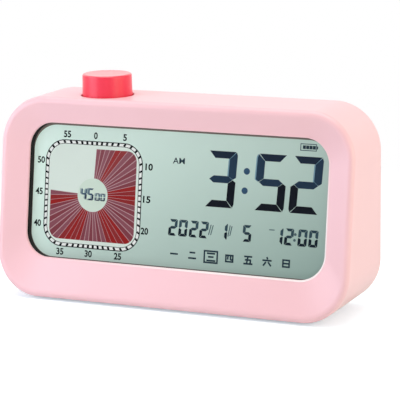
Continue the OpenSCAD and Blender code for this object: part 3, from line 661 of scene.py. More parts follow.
def soften(mesh: bpy.types.Mesh) -> None:
    """Shades curved runs smoothly and keeps the sharp edges."""
    mesh.shade_smooth()
    mesh.set_sharp_from_angle(angle=SMOOTH_ANGLE)


def to_mesh(name: str, work: bmesh.types.BMesh, smooth: bool = True) -> bpy.types.Mesh:
    """Turns a working mesh into a plain one.

    Args:
        name: Name of the mesh.
        work: The working mesh, which is freed.
        smooth: True to shade curved runs smoothly.

    Returns:
        The plain mesh.
    """
    mesh = bpy.data.meshes.new(name)
    work.to_mesh(mesh)
    work.free()
    if smooth:
        soften(mesh)
    return mesh


def evaluated(
    data: bpy.types.ID, add: Callable[[bpy.types.Object], None] | None = None
) -> bpy.types.Mesh:
    """Runs modifiers on a mesh or a curve and keeps the result as a plain mesh.

    Args:
        data: Mesh or curve to start from.
        add: Function that adds the modifiers to the object it is given, or None.

    Returns:
        The plain mesh that results.
    """
    bench = linked("bench", data)
    if add is not None:
        add(bench)
    graph = bpy.context.evaluated_depsgraph_get()
    result = bpy.data.meshes.new_from_object(bench.evaluated_get(graph))
    bpy.data.objects.remove(bench)
    return result


def even_normals(mesh: bpy.types.Mesh) -> bpy.types.Mesh:
    """Weights the normals by face area, so flat walls stay flat beside their roundings.

    Args:
        mesh: Mesh to start from.

    Returns:
        The same shape with its normals evened.
    """
    def add(bench: bpy.types.Object) -> None:
        """Adds the one modifier."""
        weighted = bench.modifiers.new("even", "WEIGHTED_NORMAL")
        weighted.keep_sharp = True

    return evaluated(mesh, add)


def carve(mesh: bpy.types.Mesh, away: bpy.types.Mesh) -> bpy.types.Mesh:
    """Cuts one shape out of another.

    Args:
        mesh: Mesh that is cut.
        away: Shape that is cut away.

    Returns:
        The cut mesh, shaded smoothly along its curved runs.
    """
    tool = linked("tool", away)

    def cut(bench: bpy.types.Object) -> None:
        """Adds the cut.

        Args:
            bench: Object that is cut.
        """
        step = bench.modifiers.new("cut", "BOOLEAN")
        step.operation = "DIFFERENCE"
        step.solver = "EXACT"
        step.object = tool

    result = evaluated(mesh, cut)
    bpy.data.objects.remove(tool)
    soften(result)
    return result


def add_prism(
    work: bmesh.types.BMesh, outer: Sequence[Flat], inner: Sequence[Flat] | None,
    low: float, high: float, matrix: Matrix,
) -> list[bmesh.types.BMFace]:
    """Adds a flat shape with straight walls to a working mesh.

    Args:
        work: The working mesh.
        outer: Outline of the shape.
        inner: Outline of its opening, with as many points, or None.
        low: Height of its lower face.
        high: Height of its upper face.
        matrix: Place of the shape, drawn in X and Y.

    Returns:
        The new faces.
    """
    def ring(points: Sequence[Flat], height: float) -> list[bmesh.types.BMVert]:
        """Adds the points of one outline at one height."""
        return [work.verts.new(matrix @ Vector((x, y, height))) for x, y in points]

    top, bottom = ring(outer, high), ring(outer, low)
    walls = [(top, bottom)]
    faces = []
    if inner is None:
        faces += [work.faces.new(top), work.faces.new(bottom[::-1])]
    else:
        inner_top, inner_bottom = ring(inner, high), ring(inner, low)
        walls += [(inner_bottom, inner_top), (inner_top, top), (bottom, inner_bottom)]
    for upper, lower in walls:
        for i in range(len(upper)):
            j = (i + 1) % len(upper)
            faces.append(work.faces.new((upper[i], lower[i], lower[j], upper[j])))
    bmesh.ops.recalc_face_normals(work, faces=faces)
    return faces


def lathe(profile: Sequence[Flat], matrix: Matrix, steps: int = 96) -> bmesh.types.BMesh:
    """Turns a profile about an axis.

    Args:
        profile: Radius and height of each point, from the axis round to the axis.
        matrix: Place of the turned shape, whose axis is its own Z.
        steps: Number of steps round the axis.

    Returns:
        A closed working mesh.
    """
    work = bmesh.new()
    rings = []
    for radius, height in profile:
        count = steps if radius > 0 else 1
        turns = [2 * math.pi * i / count for i in range(count)]
        spots = [Vector((radius * math.cos(t), radius * math.sin(t), height)) for t in turns]
        rings.append([work.verts.new(matrix @ spot) for spot in spots])
    for low, high in zip(rings, rings[1:]):
        for i in range(steps):
            j = (i + 1) % steps
            corners = [low[i % len(low)], low[j % len(low)], high[j % len(high)], high[i % len(high)]]
            work.faces.new(list(dict.fromkeys(corners)))
    bmesh.ops.recalc_face_normals(work, faces=work.faces)
    return work


def loft(rings: Sequence[Sequence[Solid]]) -> bmesh.types.BMesh:
    """Joins rings of as many points into one closed skin.

    Args:
        rings: Rings in millimetres, where the last one meets the first.

    Returns:
        The working mesh in metres.
    """
    work = bmesh.new()
    rows = [[work.verts.new(Vector(spot) * MM) for spot in ring] for ring in rings]
    for i, row in enumerate(rows):
        other = rows[(i + 1) % len(rows)]
        for j in range(len(row)):
            k = (j + 1) % len(row)
            work.faces.new((row[j], row[k], other[k], other[j]))
    bmesh.ops.recalc_face_normals(work, faces=work.faces)
    return work


def arc(centre: Flat, radius: float, start: float, end: float, steps: int) -> list[Flat]:
    """Gives points on an arc.

    Args:
        centre: Middle of the arc.
        radius: Radius of the arc.
        start: First angle in degrees.
        end: Last angle in degrees.
        steps: Number of straight steps.

    Returns:
        The points, both ends included.
    """
    angles = [math.radians(start + (end - start) * i / steps) for i in range(steps + 1)]
    return [(centre[0] + radius * math.cos(a), centre[1] + radius * math.sin(a)) for a in angles]


def circle(centre: Flat, radius: float, count: int, first: float = 0.0) -> list[Flat]:
    """Gives evenly spaced points of a circle, counter-clockwise from the angle of the first."""
    return arc(centre, radius, first, first + 360 - 360 / count, count - 1)


def rounded_box(half_w: float, half_h: float, radius: float, steps: int) -> list[Flat]:
    """Gives the outline of a rounded rectangle, corner by corner from the upper right.

    Args:
        half_w: Half of the width.
        half_h: Half of the height.
        radius: Corner radius.
        steps: Straight steps in each corner.

    Returns:
        The points, counter-clockwise.
    """
    points: list[Flat] = []
    for quarter, (x, y) in enumerate(((1, 1), (-1, 1), (-1, -1), (1, -1))):
        centre = (x * (half_w - radius), y * (half_h - radius))
        points += arc(centre, radius, 90 * quarter, 90 * quarter + 90, steps)
    return points


def mix(first: float, second: float, share: float) -> float:
    """Gives the value at a share of the way between two values."""
    return first + (second - first) * share


def upright(x: float, y: float) -> Matrix:
    """Gives the place of a turned piece that stands on the table."""
    return Matrix.Scale(MM, 4) @ Matrix.Translation((x, y, 0))


def rearward(x: float, y: float, z: float) -> Matrix:
    """Gives the place of a turned piece whose axis points to the back."""
    return Matrix.Scale(MM, 4) @ Matrix.Translation((x, y, z)) @ Matrix.Rotation(-math.pi / 2, 4, "X")


def quarter(steps: int) -> list[float]:
    """Gives the angles of a quarter turn in radians, both ends included."""
    return [math.pi / 2 * i / steps for i in range(steps + 1)]


@dataclass(frozen=True)
class Face:
    """The plane of the leaning front: along it, up it and out of it."""

    lean: float = 8.7
    front_y: float = -18.6202
    foot: float = 0.8

    @property
    def tilt(self) -> float:
        """The lean in radians."""
        return math.radians(self.lean)

    def matrix(self) -> Matrix:
        """Gives the place of drawings made in millimetres along, up and out of the face.

        Returns:
            The matrix into metres in the CAD frame.
        """
        sin, cos = math.sin(self.tilt), math.cos(self.tilt)
        rows = ((1, 0, 0, 0), (0, sin, -cos, self.front_y), (0, cos, sin, self.foot), (0, 0, 0, 1))
        return Matrix.Scale(MM, 4) @ Matrix(rows)

    def rise(self, up: float, depth: float) -> float:
        """Gives the height above the table of a point along and behind the face."""
        return self.foot + up * math.cos(self.tilt) - depth * math.sin(self.tilt)

    def back(self, height: float, depth: float) -> float:
        """Gives the place from front to back of a point at a height and a depth."""
        return self.front_y + (height - self.foot) * math.tan(self.tilt) + depth / math.cos(self.tilt)


@dataclass
class Housing:
    """Shell with the funnel bezel, lofted through rings from the back edge into the window."""

    face: Face
    body_w: float = 134.5
    body_h: float = 71.0
    corner_r: float = 16.5
    front_fillet: float = 1.7
    back_edge: float = 0.8
    wall: float = 2.2
    rim_wall: float = 1.2
    front_wall: float = 2.6
    inner_fillet: float = 1.5
    window_w: float = 114.5
    window_h: float = 48.2264
    window_up: float = 38.6132
    window_r: float = 9.0
    funnel_depth: float = 2.9
    funnel_bend: float = 0.12
    lip_t: float = 1.0
    lip_round: float = 0.62
    seat_w: float = 3.0
    back_y: float = 17.3798
    cover_y: float = 14.8598
    knob_at: Flat = (-31.3, 4.2121)
    knob_hole_r: float = 9.45
    hole_round: float = 0.3
    foot_at: tuple[Flat, ...] = ((-45.25, -8.6202), (-45.25, 9.3798), (45.25, -8.6202), (45.25, 9.3798))
    foot_pocket_r: float = 4.05
    foot_pocket: float = 0.8
    corner_steps: int = 24
    fillet_steps: int = 14
    bend_steps: int = 4
    funnel_steps: int = 6
    lip_steps: int = 5
    hole_steps: int = 4
    pocket_steps: int = 48

    @property
    def mid_z(self) -> float:
        """Height of the middle of the outline."""
        return self.face.foot + self.body_h / 2

    @property
    def top_z(self) -> float:
        """Height of the top."""
        return self.face.foot + self.body_h

    def face_ring(
        self, half_w: float, half_h: float, radius: float, middle: float, depth: float
    ) -> list[Solid]:
        """Gives a ring that lies parallel to the leaning face.

        Args:
            half_w: Half of the ring's width.
            half_h: Half of the ring's height.
            radius: Corner radius.
            middle: Height of the ring's middle above the table.
            depth: Depth behind the face.

        Returns:
            The points of the ring.
        """
        flat = rounded_box(half_w, half_h, radius, self.corner_steps)
        return [(x, self.face.back(middle + z, depth), middle + z) for x, z in flat]

    def inset_sizes(self, inset: float) -> Solid:
        """Gives half the width, half the height and the corner radius of the outline drawn in."""
        return (self.body_w / 2 - inset, self.body_h / 2 - inset, self.corner_r - inset)

    def face_inset(self, inset: float, depth: float) -> list[Solid]:
        """Gives a ring of the outline, drawn in and parallel to the face."""
        return self.face_ring(*self.inset_sizes(inset), self.mid_z, depth)

    def upright_inset(self, inset: float, y: float) -> list[Solid]:
        """Gives a ring of the outline, drawn in and upright."""
        flat = rounded_box(*self.inset_sizes(inset), self.corner_steps)
        return [(x, y, self.mid_z + z) for x, z in flat]

    def window_ring(self, grow: float, depth: float) -> list[Solid]:
        """Gives a ring of the window, grown by an offset.

        Args:
            grow: Offset of the ring.
            depth: Depth behind the face.

        Returns:
            The points of the ring.
        """
        half_h = (self.window_h / 2 + grow) * math.cos(self.face.tilt)
        middle = self.face.rise(self.window_up, depth)
        return self.face_ring(self.window_w / 2 + grow, half_h, self.window_r + grow, middle, depth)

    def funnel_ring(self, share: float) -> list[Solid]:
        """Gives a ring of the funnel between the rim and the lip.

        Args:
            share: Share of the way from the rim to the lip.

        Returns:
            The points of the ring.
        """
        bend = self.funnel_bend
        fall = share * share / (2 * bend) if share < bend else share - bend / 2
        lip_h = (self.window_h / 2 + self.lip_round) * math.cos(self.face.tilt)
        rim_w, rim_h, rim_r = self.inset_sizes(self.front_fillet)
        return self.face_ring(
            mix(rim_w, self.window_w / 2 + self.lip_round, share),
            mix(rim_h, lip_h, share),
            mix(rim_r, self.window_r + self.lip_round, share),
            mix(self.mid_z, self.face.rise(self.window_up, self.funnel_depth), share),
            self.funnel_depth * fall / (1 - bend / 2),
        )

    def rings(self) -> list[list[Solid]]:
        """Gives the rings from the back edge over the front into the window and back inside.

        Returns:
            The rings in their order, in millimetres.
        """
        fillet, edge, lip = self.front_fillet, self.back_edge, self.lip_round
        seat = self.funnel_depth + self.lip_t
        found = []
        for t in quarter(self.lip_steps):
            y = self.back_y - edge * (1 - math.cos(t))
            found.append(self.upright_inset(edge * (1 - math.sin(t)), y))
        for t in reversed(quarter(self.fillet_steps)):
            found.append(self.face_inset(fillet * (1 - math.sin(t)), fillet * (1 - math.cos(t))))
        shares = [self.funnel_bend * i / self.bend_steps for i in range(1, self.bend_steps + 1)]
        shares += [mix(self.funnel_bend, 1, i / self.funnel_steps) for i in range(1, self.funnel_steps + 1)]
        found += [self.funnel_ring(share) for share in shares]
        for t in quarter(self.lip_steps)[1:]:
            depth = self.funnel_depth + lip * (1 - math.cos(t))
            found.append(self.window_ring(lip * (1 - math.sin(t)), depth))
        found += [self.window_ring(0, seat), self.window_ring(self.seat_w, seat)]
        found.append(self.face_inset(self.wall + self.inner_fillet, self.front_wall))
        found.append(self.face_inset(self.wall, self.front_wall + self.inner_fillet))
        found.append(self.upright_inset(self.wall, self.cover_y))
        found.append(self.upright_inset(self.rim_wall, self.cover_y))
        found.append(self.upright_inset(self.rim_wall, self.back_y))
        return found

    def shell(self) -> bmesh.types.BMesh:
        """Lofts the rings into one closed skin that stays inside the box of the CAD."""
        front = CAD_BOX[0][1] / MM
        return loft([[(x, max(y, front), z) for x, y, z in ring] for ring in self.rings()])

    def cutter(self) -> bpy.types.Mesh:
        """Makes the shape of the knob hole, with its rounded edge, and of the foot pockets.

        Returns:
            The mesh of what is cut away.
        """
        radius, top, edge = self.knob_hole_r, self.top_z, self.hole_round
        profile = [(0, top - 2 * self.wall), (radius, top - 2 * self.wall)]
        profile += arc((radius + edge, top - edge), edge, 180, 90, self.hole_steps)
        profile += [(radius + edge, top + self.wall), (0, top + self.wall)]
        work = lathe(profile, upright(*self.knob_at))
        low, high = self.face.foot - self.wall, self.face.foot + self.foot_pocket
        pocket = [(0, low), (self.foot_pocket_r, low), (self.foot_pocket_r, high), (0, high)]
        for spot in self.foot_at:
            part = lathe(pocket, upright(*spot), self.pocket_steps)
            shape = to_mesh("pocket", part, smooth=False)
            work.from_mesh(shape)
            bpy.data.meshes.remove(shape)
        return to_mesh("cutter", work, smooth=False)

    def build(self) -> None:
        """Makes the shell, cuts its hole and pockets, and puts it in place."""
        cut_mesh = carve(to_mesh("shell", self.shell(), smooth=False), self.cutter())
        place_piece("housing_shell", even_normals(cut_mesh), Finishes.PINK, Body.CASE, ["front_housing"])


@dataclass
class Knob:
    """Red cap: a turned wall with a rounded edge, a shallow dish and the boss for the shaft."""

    at: Flat
    foot_z: float = 70.6
    top_z: float = 79.4
    foot_r: float = 8.95
    top_r: float = 8.8
    edge_r: float = 0.7
    dish: float = 0.12
    wall: float = 1.6
    ceiling_z: float = 77.8
    boss_r: float = 4.6
    boss_z: float = 72.9
    bore_r: float = 3.02
    bore_top_z: float = 77.7
    foot_round: float = 0.2
    bowl_gap: float = 0.6
    bowl_power: int = 4
    curve_steps: int = 8
    foot_steps: int = 3
    turn_steps: int = 128

    def profile(self) -> list[Flat]:
        """Gives the half section, from the middle of the top round to the middle of the bore.

        Returns:
            Radius and height of each point.
        """
        land = self.top_r - self.edge_r
        bowl, steps, turn = land - self.bowl_gap, self.curve_steps, self.foot_round
        points = [(0.0, self.top_z - self.dish)]
        for share in (i / steps for i in range(1, steps + 1)):
            points.append((bowl * share, self.top_z - self.dish * (1 - share ** self.bowl_power)))
        points += arc((land, self.top_z - self.edge_r), self.edge_r, 90, 0, steps)
        points += arc((self.foot_r - turn, self.foot_z + turn), turn, 0, -90, self.foot_steps)
        inner = self.foot_r - self.wall
        points += [(inner, self.foot_z), (inner, self.ceiling_z), (self.boss_r, self.ceiling_z)]
        points += [(self.boss_r, self.boss_z), (self.bore_r, self.boss_z)]
        points += [(self.bore_r, self.bore_top_z), (0.0, self.bore_top_z)]
        return points

    def build(self) -> None:
        """Turns the cap and puts it in place."""
        mesh = to_mesh("knob_cap", lathe(self.profile(), upright(*self.at), self.turn_steps))
        place_piece("knob_cap", even_normals(mesh), Finishes.RED, Body.KNOB, ["knob"])


@dataclass
class RearButtons:
    """Four round push buttons, each with a dished crown and a flange inside the cover."""

    xs: tuple[float, ...] = (-30.0, -10.0, 10.0, 30.0)
    bodies: tuple[Body, ...] = (Body.SET, Body.UP, Body.DOWN, Body.ALARM)
    z: float = 52.3
    seat_y: float = 14.8298
    radius: float = 3.5
    cap: float = 3.55
    flange_t: float = 0.8
    flange_w: float = 1.0
    stem_len: float = 0.6
    crown: float = 0.5
    dish: float = 0.25
    dish_gap: float = 0.2
    crown_steps: int = 6
    turn_steps: int = 64
    mark_t: float = 0.12
    mark_r: float = 1.1
    ring_r: Flat = (0.935, 0.495)
    ring_points: int = 24
    bell_r: float = 0.605
    bell_up: float = 0.165
    bell_skirt: Flat = (0.935, -0.66)
    bell_steps: int = 12

    def profile(self) -> list[Flat]:
        """Gives the half section of a button, from the middle of its crown to its stem.

        Returns:
            Radius and height of each point.
        """
        land = self.radius - self.crown
        stem_r = self.radius / 2
        flange_r = self.radius + self.flange_w
        bowl, steps = land - self.dish_gap, self.crown_steps
        points = [(0.0, self.cap - self.dish)]
        for share in (i / steps for i in range(1, steps + 1)):
            points.append((bowl * share, self.cap - self.dish * (1 - share * share)))
        points += arc((land, self.cap - self.crown), self.crown, 90, 0, steps)
        points += [(self.radius, 0.0), (flange_r, 0.0), (flange_r, -self.flange_t), (stem_r, -self.flange_t)]
        points += [(stem_r, -self.flange_t - self.stem_len), (0.0, -self.flange_t - self.stem_len)]
        return points

    def mark(self, body: Body) -> tuple[list[Flat], list[Flat] | None]:
        """Gives the outline of the small raised mark on a button.

        Args:
            body: Body of the button.

        Returns:
            The outline, counter-clockwise as seen from behind, and that of its opening or None.
        """
        if body in (Body.UP, Body.DOWN):
            return circle((0, 0), self.mark_r, 3, 90 if body is Body.UP else -90), None
        if body is Body.SET:
            outer, inner = (circle((0, 0), radius, self.ring_points) for radius in self.ring_r)
            return outer, inner
        half, drop = self.bell_skirt
        dome = arc((0, self.bell_up), self.bell_r, 0, 180, self.bell_steps)
        return [(half, drop), *dome, (-half, drop)], None

    def build(self) -> None:
        """Turns each button and puts it and its mark in place."""
        for x, body in zip(self.xs, self.bodies):
            place = rearward(x, self.seat_y, self.z)
            mesh = even_normals(to_mesh(body.value, lathe(self.profile(), place, self.turn_steps)))
            place_piece(f"{body.value}_cap", mesh, Finishes.BUTTON, body, [body.value])
            work = bmesh.new()
            low, high = self.cap - 2 * self.dish, self.cap - self.dish + self.mark_t
            # A drawing in this place stands on its head, so the mark is turned half round
            add_prism(work, *self.mark(body), low, high, place @ Matrix.Rotation(math.pi, 4, "Z"))
            place_piece(f"{body.value}_mark", to_mesh("mark", work, smooth=False), Finishes.PINK, body)


class Layer(IntEnum):
    """Heights of the marks on the film, where a higher layer covers those below."""

    BASE = 1
    MARK = 2
    OVER = 3
    TOP = 4


@dataclass
class InkSheet:
    """Thin flat shapes that lie on the display film, each with its tone."""

    name: str
    face: Face
    film: float = 6.99
    lift: float = 0.02
    root: float = 0.01
    font_steps: int = 4

    def __post_init__(self) -> None:
        """Starts an empty sheet."""
        self.work = bmesh.new()
        self.tone = self.work.loops.layers.float_color.new("ink")

    def lay(
        self, outer: Sequence[Flat], colour: Colour, layer: Layer = Layer.BASE,
        inner: Sequence[Flat] | None = None,
    ) -> None:
        """Lays one shape on the film.

        Args:
            outer: Outline along and up the face.
            colour: Tone of the shape.
            layer: Layer of the shape.
            inner: Outline of an opening, with as many points.
        """
        high = -self.film + self.lift * layer
        low = -self.film - self.root
        self.paint(add_prism(self.work, outer, inner, low, high, self.face.matrix()), colour)

    def paint(self, faces: Iterable[bmesh.types.BMFace], colour: Colour) -> None:
        """Gives faces their tone.

        Args:
            faces: The faces.
            colour: Their tone.
        """
        for loop in (loop for item in faces for loop in item.loops):
            loop[self.tone] = colour

    def stroke(
        self, start: Flat, end: Flat, width: float, colour: Colour, layer: Layer = Layer.BASE
    ) -> None:
        """Lays one straight stroke on the film.

        Args:
            start: One end of the stroke.
            end: The other end.
            width: Width of the stroke.
            colour: Tone of the stroke.
            layer: Layer of the stroke.
        """
        run = Vector(end) - Vector(start)
        side = Vector((-run.y, run.x)).normalized() * width / 2
        first, last = Vector(start), Vector(end)
        corners = (first - side, last - side, last + side, first + side)
        self.lay([(c.x, c.y) for c in corners], colour, layer)

    def frame(self, centre: Flat, half: Flat, width: float, colour: Colour) -> None:
        """Lays a rectangular line on the film.

        Args:
            centre: Middle of the rectangle.
            half: Half of its width and height, to the outside of the line.
            width: Width of the line.
            colour: Tone of the line.
        """
        def box(cut: float) -> list[Flat]:
            """Gives the rectangle drawn in by the line's width."""
            w, h = half[0] - cut, half[1] - cut
            return [(centre[0] + x * w, centre[1] + y * h) for x, y in ((-1, -1), (1, -1), (1, 1), (-1, 1))]

        self.lay(box(0), colour, inner=box(width))

    def text(self, words: str, centre: Flat, size: Flat, colour: Colour, weight: float) -> None:
        """Lays plain figures or letters on the film.

        Args:
            words: The figures or letters.
            centre: Middle of the figures.
            size: Width of one figure's place and height of the figures.
            colour: Tone of the figures.
            weight: How much bolder than the plain font they are, as a share of its size.
        """
        curve = bpy.data.curves.new("figures", "FONT")
        curve.body = words
        curve.resolution_u = self.font_steps
        curve.offset = weight
        thick = (self.lift + self.root) / 2
        curve.extrude = thick
        mesh = evaluated(curve)
        bpy.data.curves.remove(curve)
        spots = [v.co for v in mesh.vertices]
        low = Vector((min(s.x for s in spots), min(s.y for s in spots)))
        high = Vector((max(s.x for s in spots), max(s.y for s in spots)))
        stretch = Vector((size[0] * len(words) / (high.x - low.x), size[1] / (high.y - low.y)))
        middle = (low + high) / 2
        mesh.transform(Matrix.Translation((-middle.x, -middle.y, 0)))
        mesh.transform(Matrix.Diagonal((stretch.x, stretch.y, 1, 1)))
        out = -self.film + self.lift - thick
        mesh.transform(self.face.matrix() @ Matrix.Translation((centre[0], centre[1], out)))
        known = set(self.work.faces)
        self.work.from_mesh(mesh)
        bpy.data.meshes.remove(mesh)
        fresh = [item for item in self.work.faces if item not in known]
        corners = list({vert for item in fresh for vert in item.verts})
        bmesh.ops.remove_doubles(self.work, verts=corners, dist=MERGE)
        self.paint([item for item in self.work.faces if item not in known], colour)

    def done(self) -> None:
        """Puts the sheet in place on the display."""
        mesh = to_mesh(self.name, self.work, smooth=False)
        place_piece(self.name, mesh, Finishes.INK, Body.CASE)


@dataclass
class WindowTrim:
    """Rounded edge of the window with a painted highlight, and a painted shadow of the lip: a dark line
    along the top of the display.
    """

    housing: Housing
    proud: float = 0.03
    root: float = 0.3
    # Painted shadow of the lip on the film: its height and how far it reaches under the lip.
    lip_shadow_h: float = 0.8
    lip_shadow_reach: float = 0.2
    # Tone of the painted lip shadow.
    line: Colour = srgb(126, 117, 110)

    def edge_rings(self) -> list[list[Solid]]:
        """Gives the rings over the rounded lip and back inside it.

        Returns:
            The rings in their order, in millimetres.
        """
        house = self.housing
        lip, depth = house.lip_round, house.funnel_depth
        reach = lip + self.proud
        rings = [
            house.window_ring(lip - reach * math.sin(t), depth + lip - reach * math.cos(t))
            for t in quarter(house.lip_steps)
        ]
        return [*rings, house.window_ring(self.root, depth + lip), house.window_ring(lip, depth + self.root)]

    def paint_lip_shadow(self) -> None:
        """Lays the painted shadow of the lip, a dark line along the top of the display film."""
        house = self.housing
        half_w, half_h, steps = house.window_w / 2, house.window_h / 2, house.corner_steps
        grow, drop = self.lip_shadow_reach, self.lip_shadow_h / 2
        outer = rounded_box(half_w + grow, half_h + grow, house.window_r + grow, steps)
        inner = rounded_box(half_w, half_h - drop, house.window_r, steps)
        sheet = InkSheet("frame_line", house.face)
        sheet.lay(
            [(x, house.window_up + y) for x, y in outer], self.line,
            inner=[(x, house.window_up - drop + y) for x, y in inner],
        )
        sheet.done()

    def build(self) -> None:
        """Puts the edge with its painted highlight and the painted lip shadow in place."""
        place_piece("window_edge", to_mesh("edge", loft(self.edge_rings())), Finishes.EDGE_HIGHLIGHT, Body.CASE)
        self.paint_lip_shadow()


class Segment(Enum):
    """Bars of a seven-bar figure."""

    TOP = "a"
    UPPER_RIGHT = "b"
    LOWER_RIGHT = "c"
    BOTTOM = "d"
    LOWER_LEFT = "e"
    UPPER_LEFT = "f"
    MIDDLE = "g"


FIGURES = {
    "0": "abcdef", "1": "bc", "2": "abged", "3": "abgcd", "4": "fgbc",
    "5": "afgcd", "6": "afgedc", "7": "abc", "8": "abcdefg", "9": "abcdfg",
}


Stroke = tuple[float, float, float, float]
DAY_SIGNS: tuple[tuple[tuple[Stroke, ...], tuple[Flat, ...]], ...] = (
    (((-1.5, 0.0, 1.5, 0.0),), ()),
    (((-1.1, 0.95, 1.1, 0.95), (-1.5, -1.0, 1.5, -1.0)), ()),
    (((-1.5, 1.2, 1.6, 1.2), (-1.0, 0.0, 1.1, 0.0), (-1.6, -1.3, 1.8, -1.3)), ((2.75, 2.3),)),
    (((-0.5, 1.1, -0.6, -0.4), (0.45, 1.1, 0.45, -0.5), (0.45, -0.4, 1.3, -0.4)), ((1.6, 1.4),)),
    (
        (
            (-1.5, 1.25, 1.5, 1.25), (-0.1, 1.25, -0.5, -1.2), (-1.2, 0.1, 1.1, 0.1),
            (0.9, 0.1, 0.8, -1.2), (-1.7, -1.25, 1.7, -1.25),
        ),
        (),
    ),
    (((-0.1, 1.7, 0.2, 0.9), (-1.7, 0.5, 1.7, 0.5), (-0.4, 0.0, -1.4, -1.4), (0.4, 0.0, 1.5, -1.4)), ()),
    (((-1.1, 0.0, 1.1, 0.0),), ((1.45, 1.45),)),
)


@dataclass(frozen=True)
class FigureStyle:
    """Sizes and tones of one row of seven-bar figures."""

    width: float
    height: float
    bar: float
    post: float
    top: Colour
    upper: Colour
    middle: Colour
    lower: Colour
    slant: float = 0.05
    gap: float = 0.15
    tip: float = 0.9
    shoulder: float = 1.3
    notch: float = 1.2
    waist: float = 0.7
    inner_gaps: float = 1.5

    def tone(self, segment: Segment) -> Colour:
        """Gives the tone of a bar: the display darkens towards its lower half.

        Args:
            segment: The bar.

        Returns:
            Its tone.
        """
        if segment is Segment.TOP:
            return self.top
        if segment is Segment.MIDDLE:
            return self.middle
        raised = segment in (Segment.UPPER_LEFT, Segment.UPPER_RIGHT)
        return self.upper if raised else self.lower

    def outline(self, segment: Segment, left: float, low: float) -> list[Flat]:
        """Gives the outline of one bar.

        Args:
            segment: The bar.
            left: Left edge of the figure at half its height.
            low: Lower edge of the figure.

        Returns:
            The points along and up the face.
        """
        w, h, t, p, g = self.width, self.height, self.bar, self.post, self.gap
        mid = h / 2
        if segment in (Segment.TOP, Segment.BOTTOM):
            shape = [(self.tip, h), (p, h - t), (w - p, h - t), (w - self.tip, h)]
        elif segment is Segment.MIDDLE:
            half = t / 2
            shape = [(self.notch, mid), (p, mid - half), (w - p, mid - half)]
            shape += [(w - self.notch, mid), (w - p, mid + half), (p, mid + half)]
        else:
            corner = self.tip - 2 * g
            shape = [(0, h - self.shoulder), (0, mid + self.notch * self.waist), (self.notch - g, mid + g)]
            shape += [(p, mid + t / 2 + g), (p, h - t - self.inner_gaps * g), (corner, h - 2 * g)]
        if segment in (Segment.UPPER_RIGHT, Segment.LOWER_RIGHT):
            shape = [(w - x, y) for x, y in shape]
        if segment in (Segment.BOTTOM, Segment.LOWER_LEFT, Segment.LOWER_RIGHT):
            shape = [(x, h - y) for x, y in shape]
        return [(left + x + self.slant * (y - mid), low + y) for x, y in shape]


TIME_STYLE = FigureStyle(
    width=11.2, height=19.5, bar=2.45, post=2.85, gap=0.09, tip=0.6,
    top=srgb(40, 50, 66), upper=srgb(48, 66, 86), middle=srgb(44, 62, 82), lower=srgb(30, 33, 41),
)
DATE_STYLE = FigureStyle(
    width=3.3, height=5.8, bar=0.95, post=1.05, slant=0.06, gap=0.05, tip=0.3, shoulder=0.4, notch=0.4,
    top=srgb(54, 74, 84), upper=srgb(62, 84, 94), middle=srgb(50, 68, 78), lower=srgb(34, 44, 54),
)
COUNT_STYLE = FigureStyle(
    width=2.3, height=4.3, bar=0.6, post=0.65, slant=0.07, gap=0.04, tip=0.2, shoulder=0.3, notch=0.25,
    top=srgb(70, 92, 112), upper=srgb(92, 116, 132), middle=srgb(62, 84, 108), lower=srgb(48, 62, 84),
)
FINE_STYLE = replace(COUNT_STYLE, width=1.75, height=2.7, bar=0.4, post=0.45)


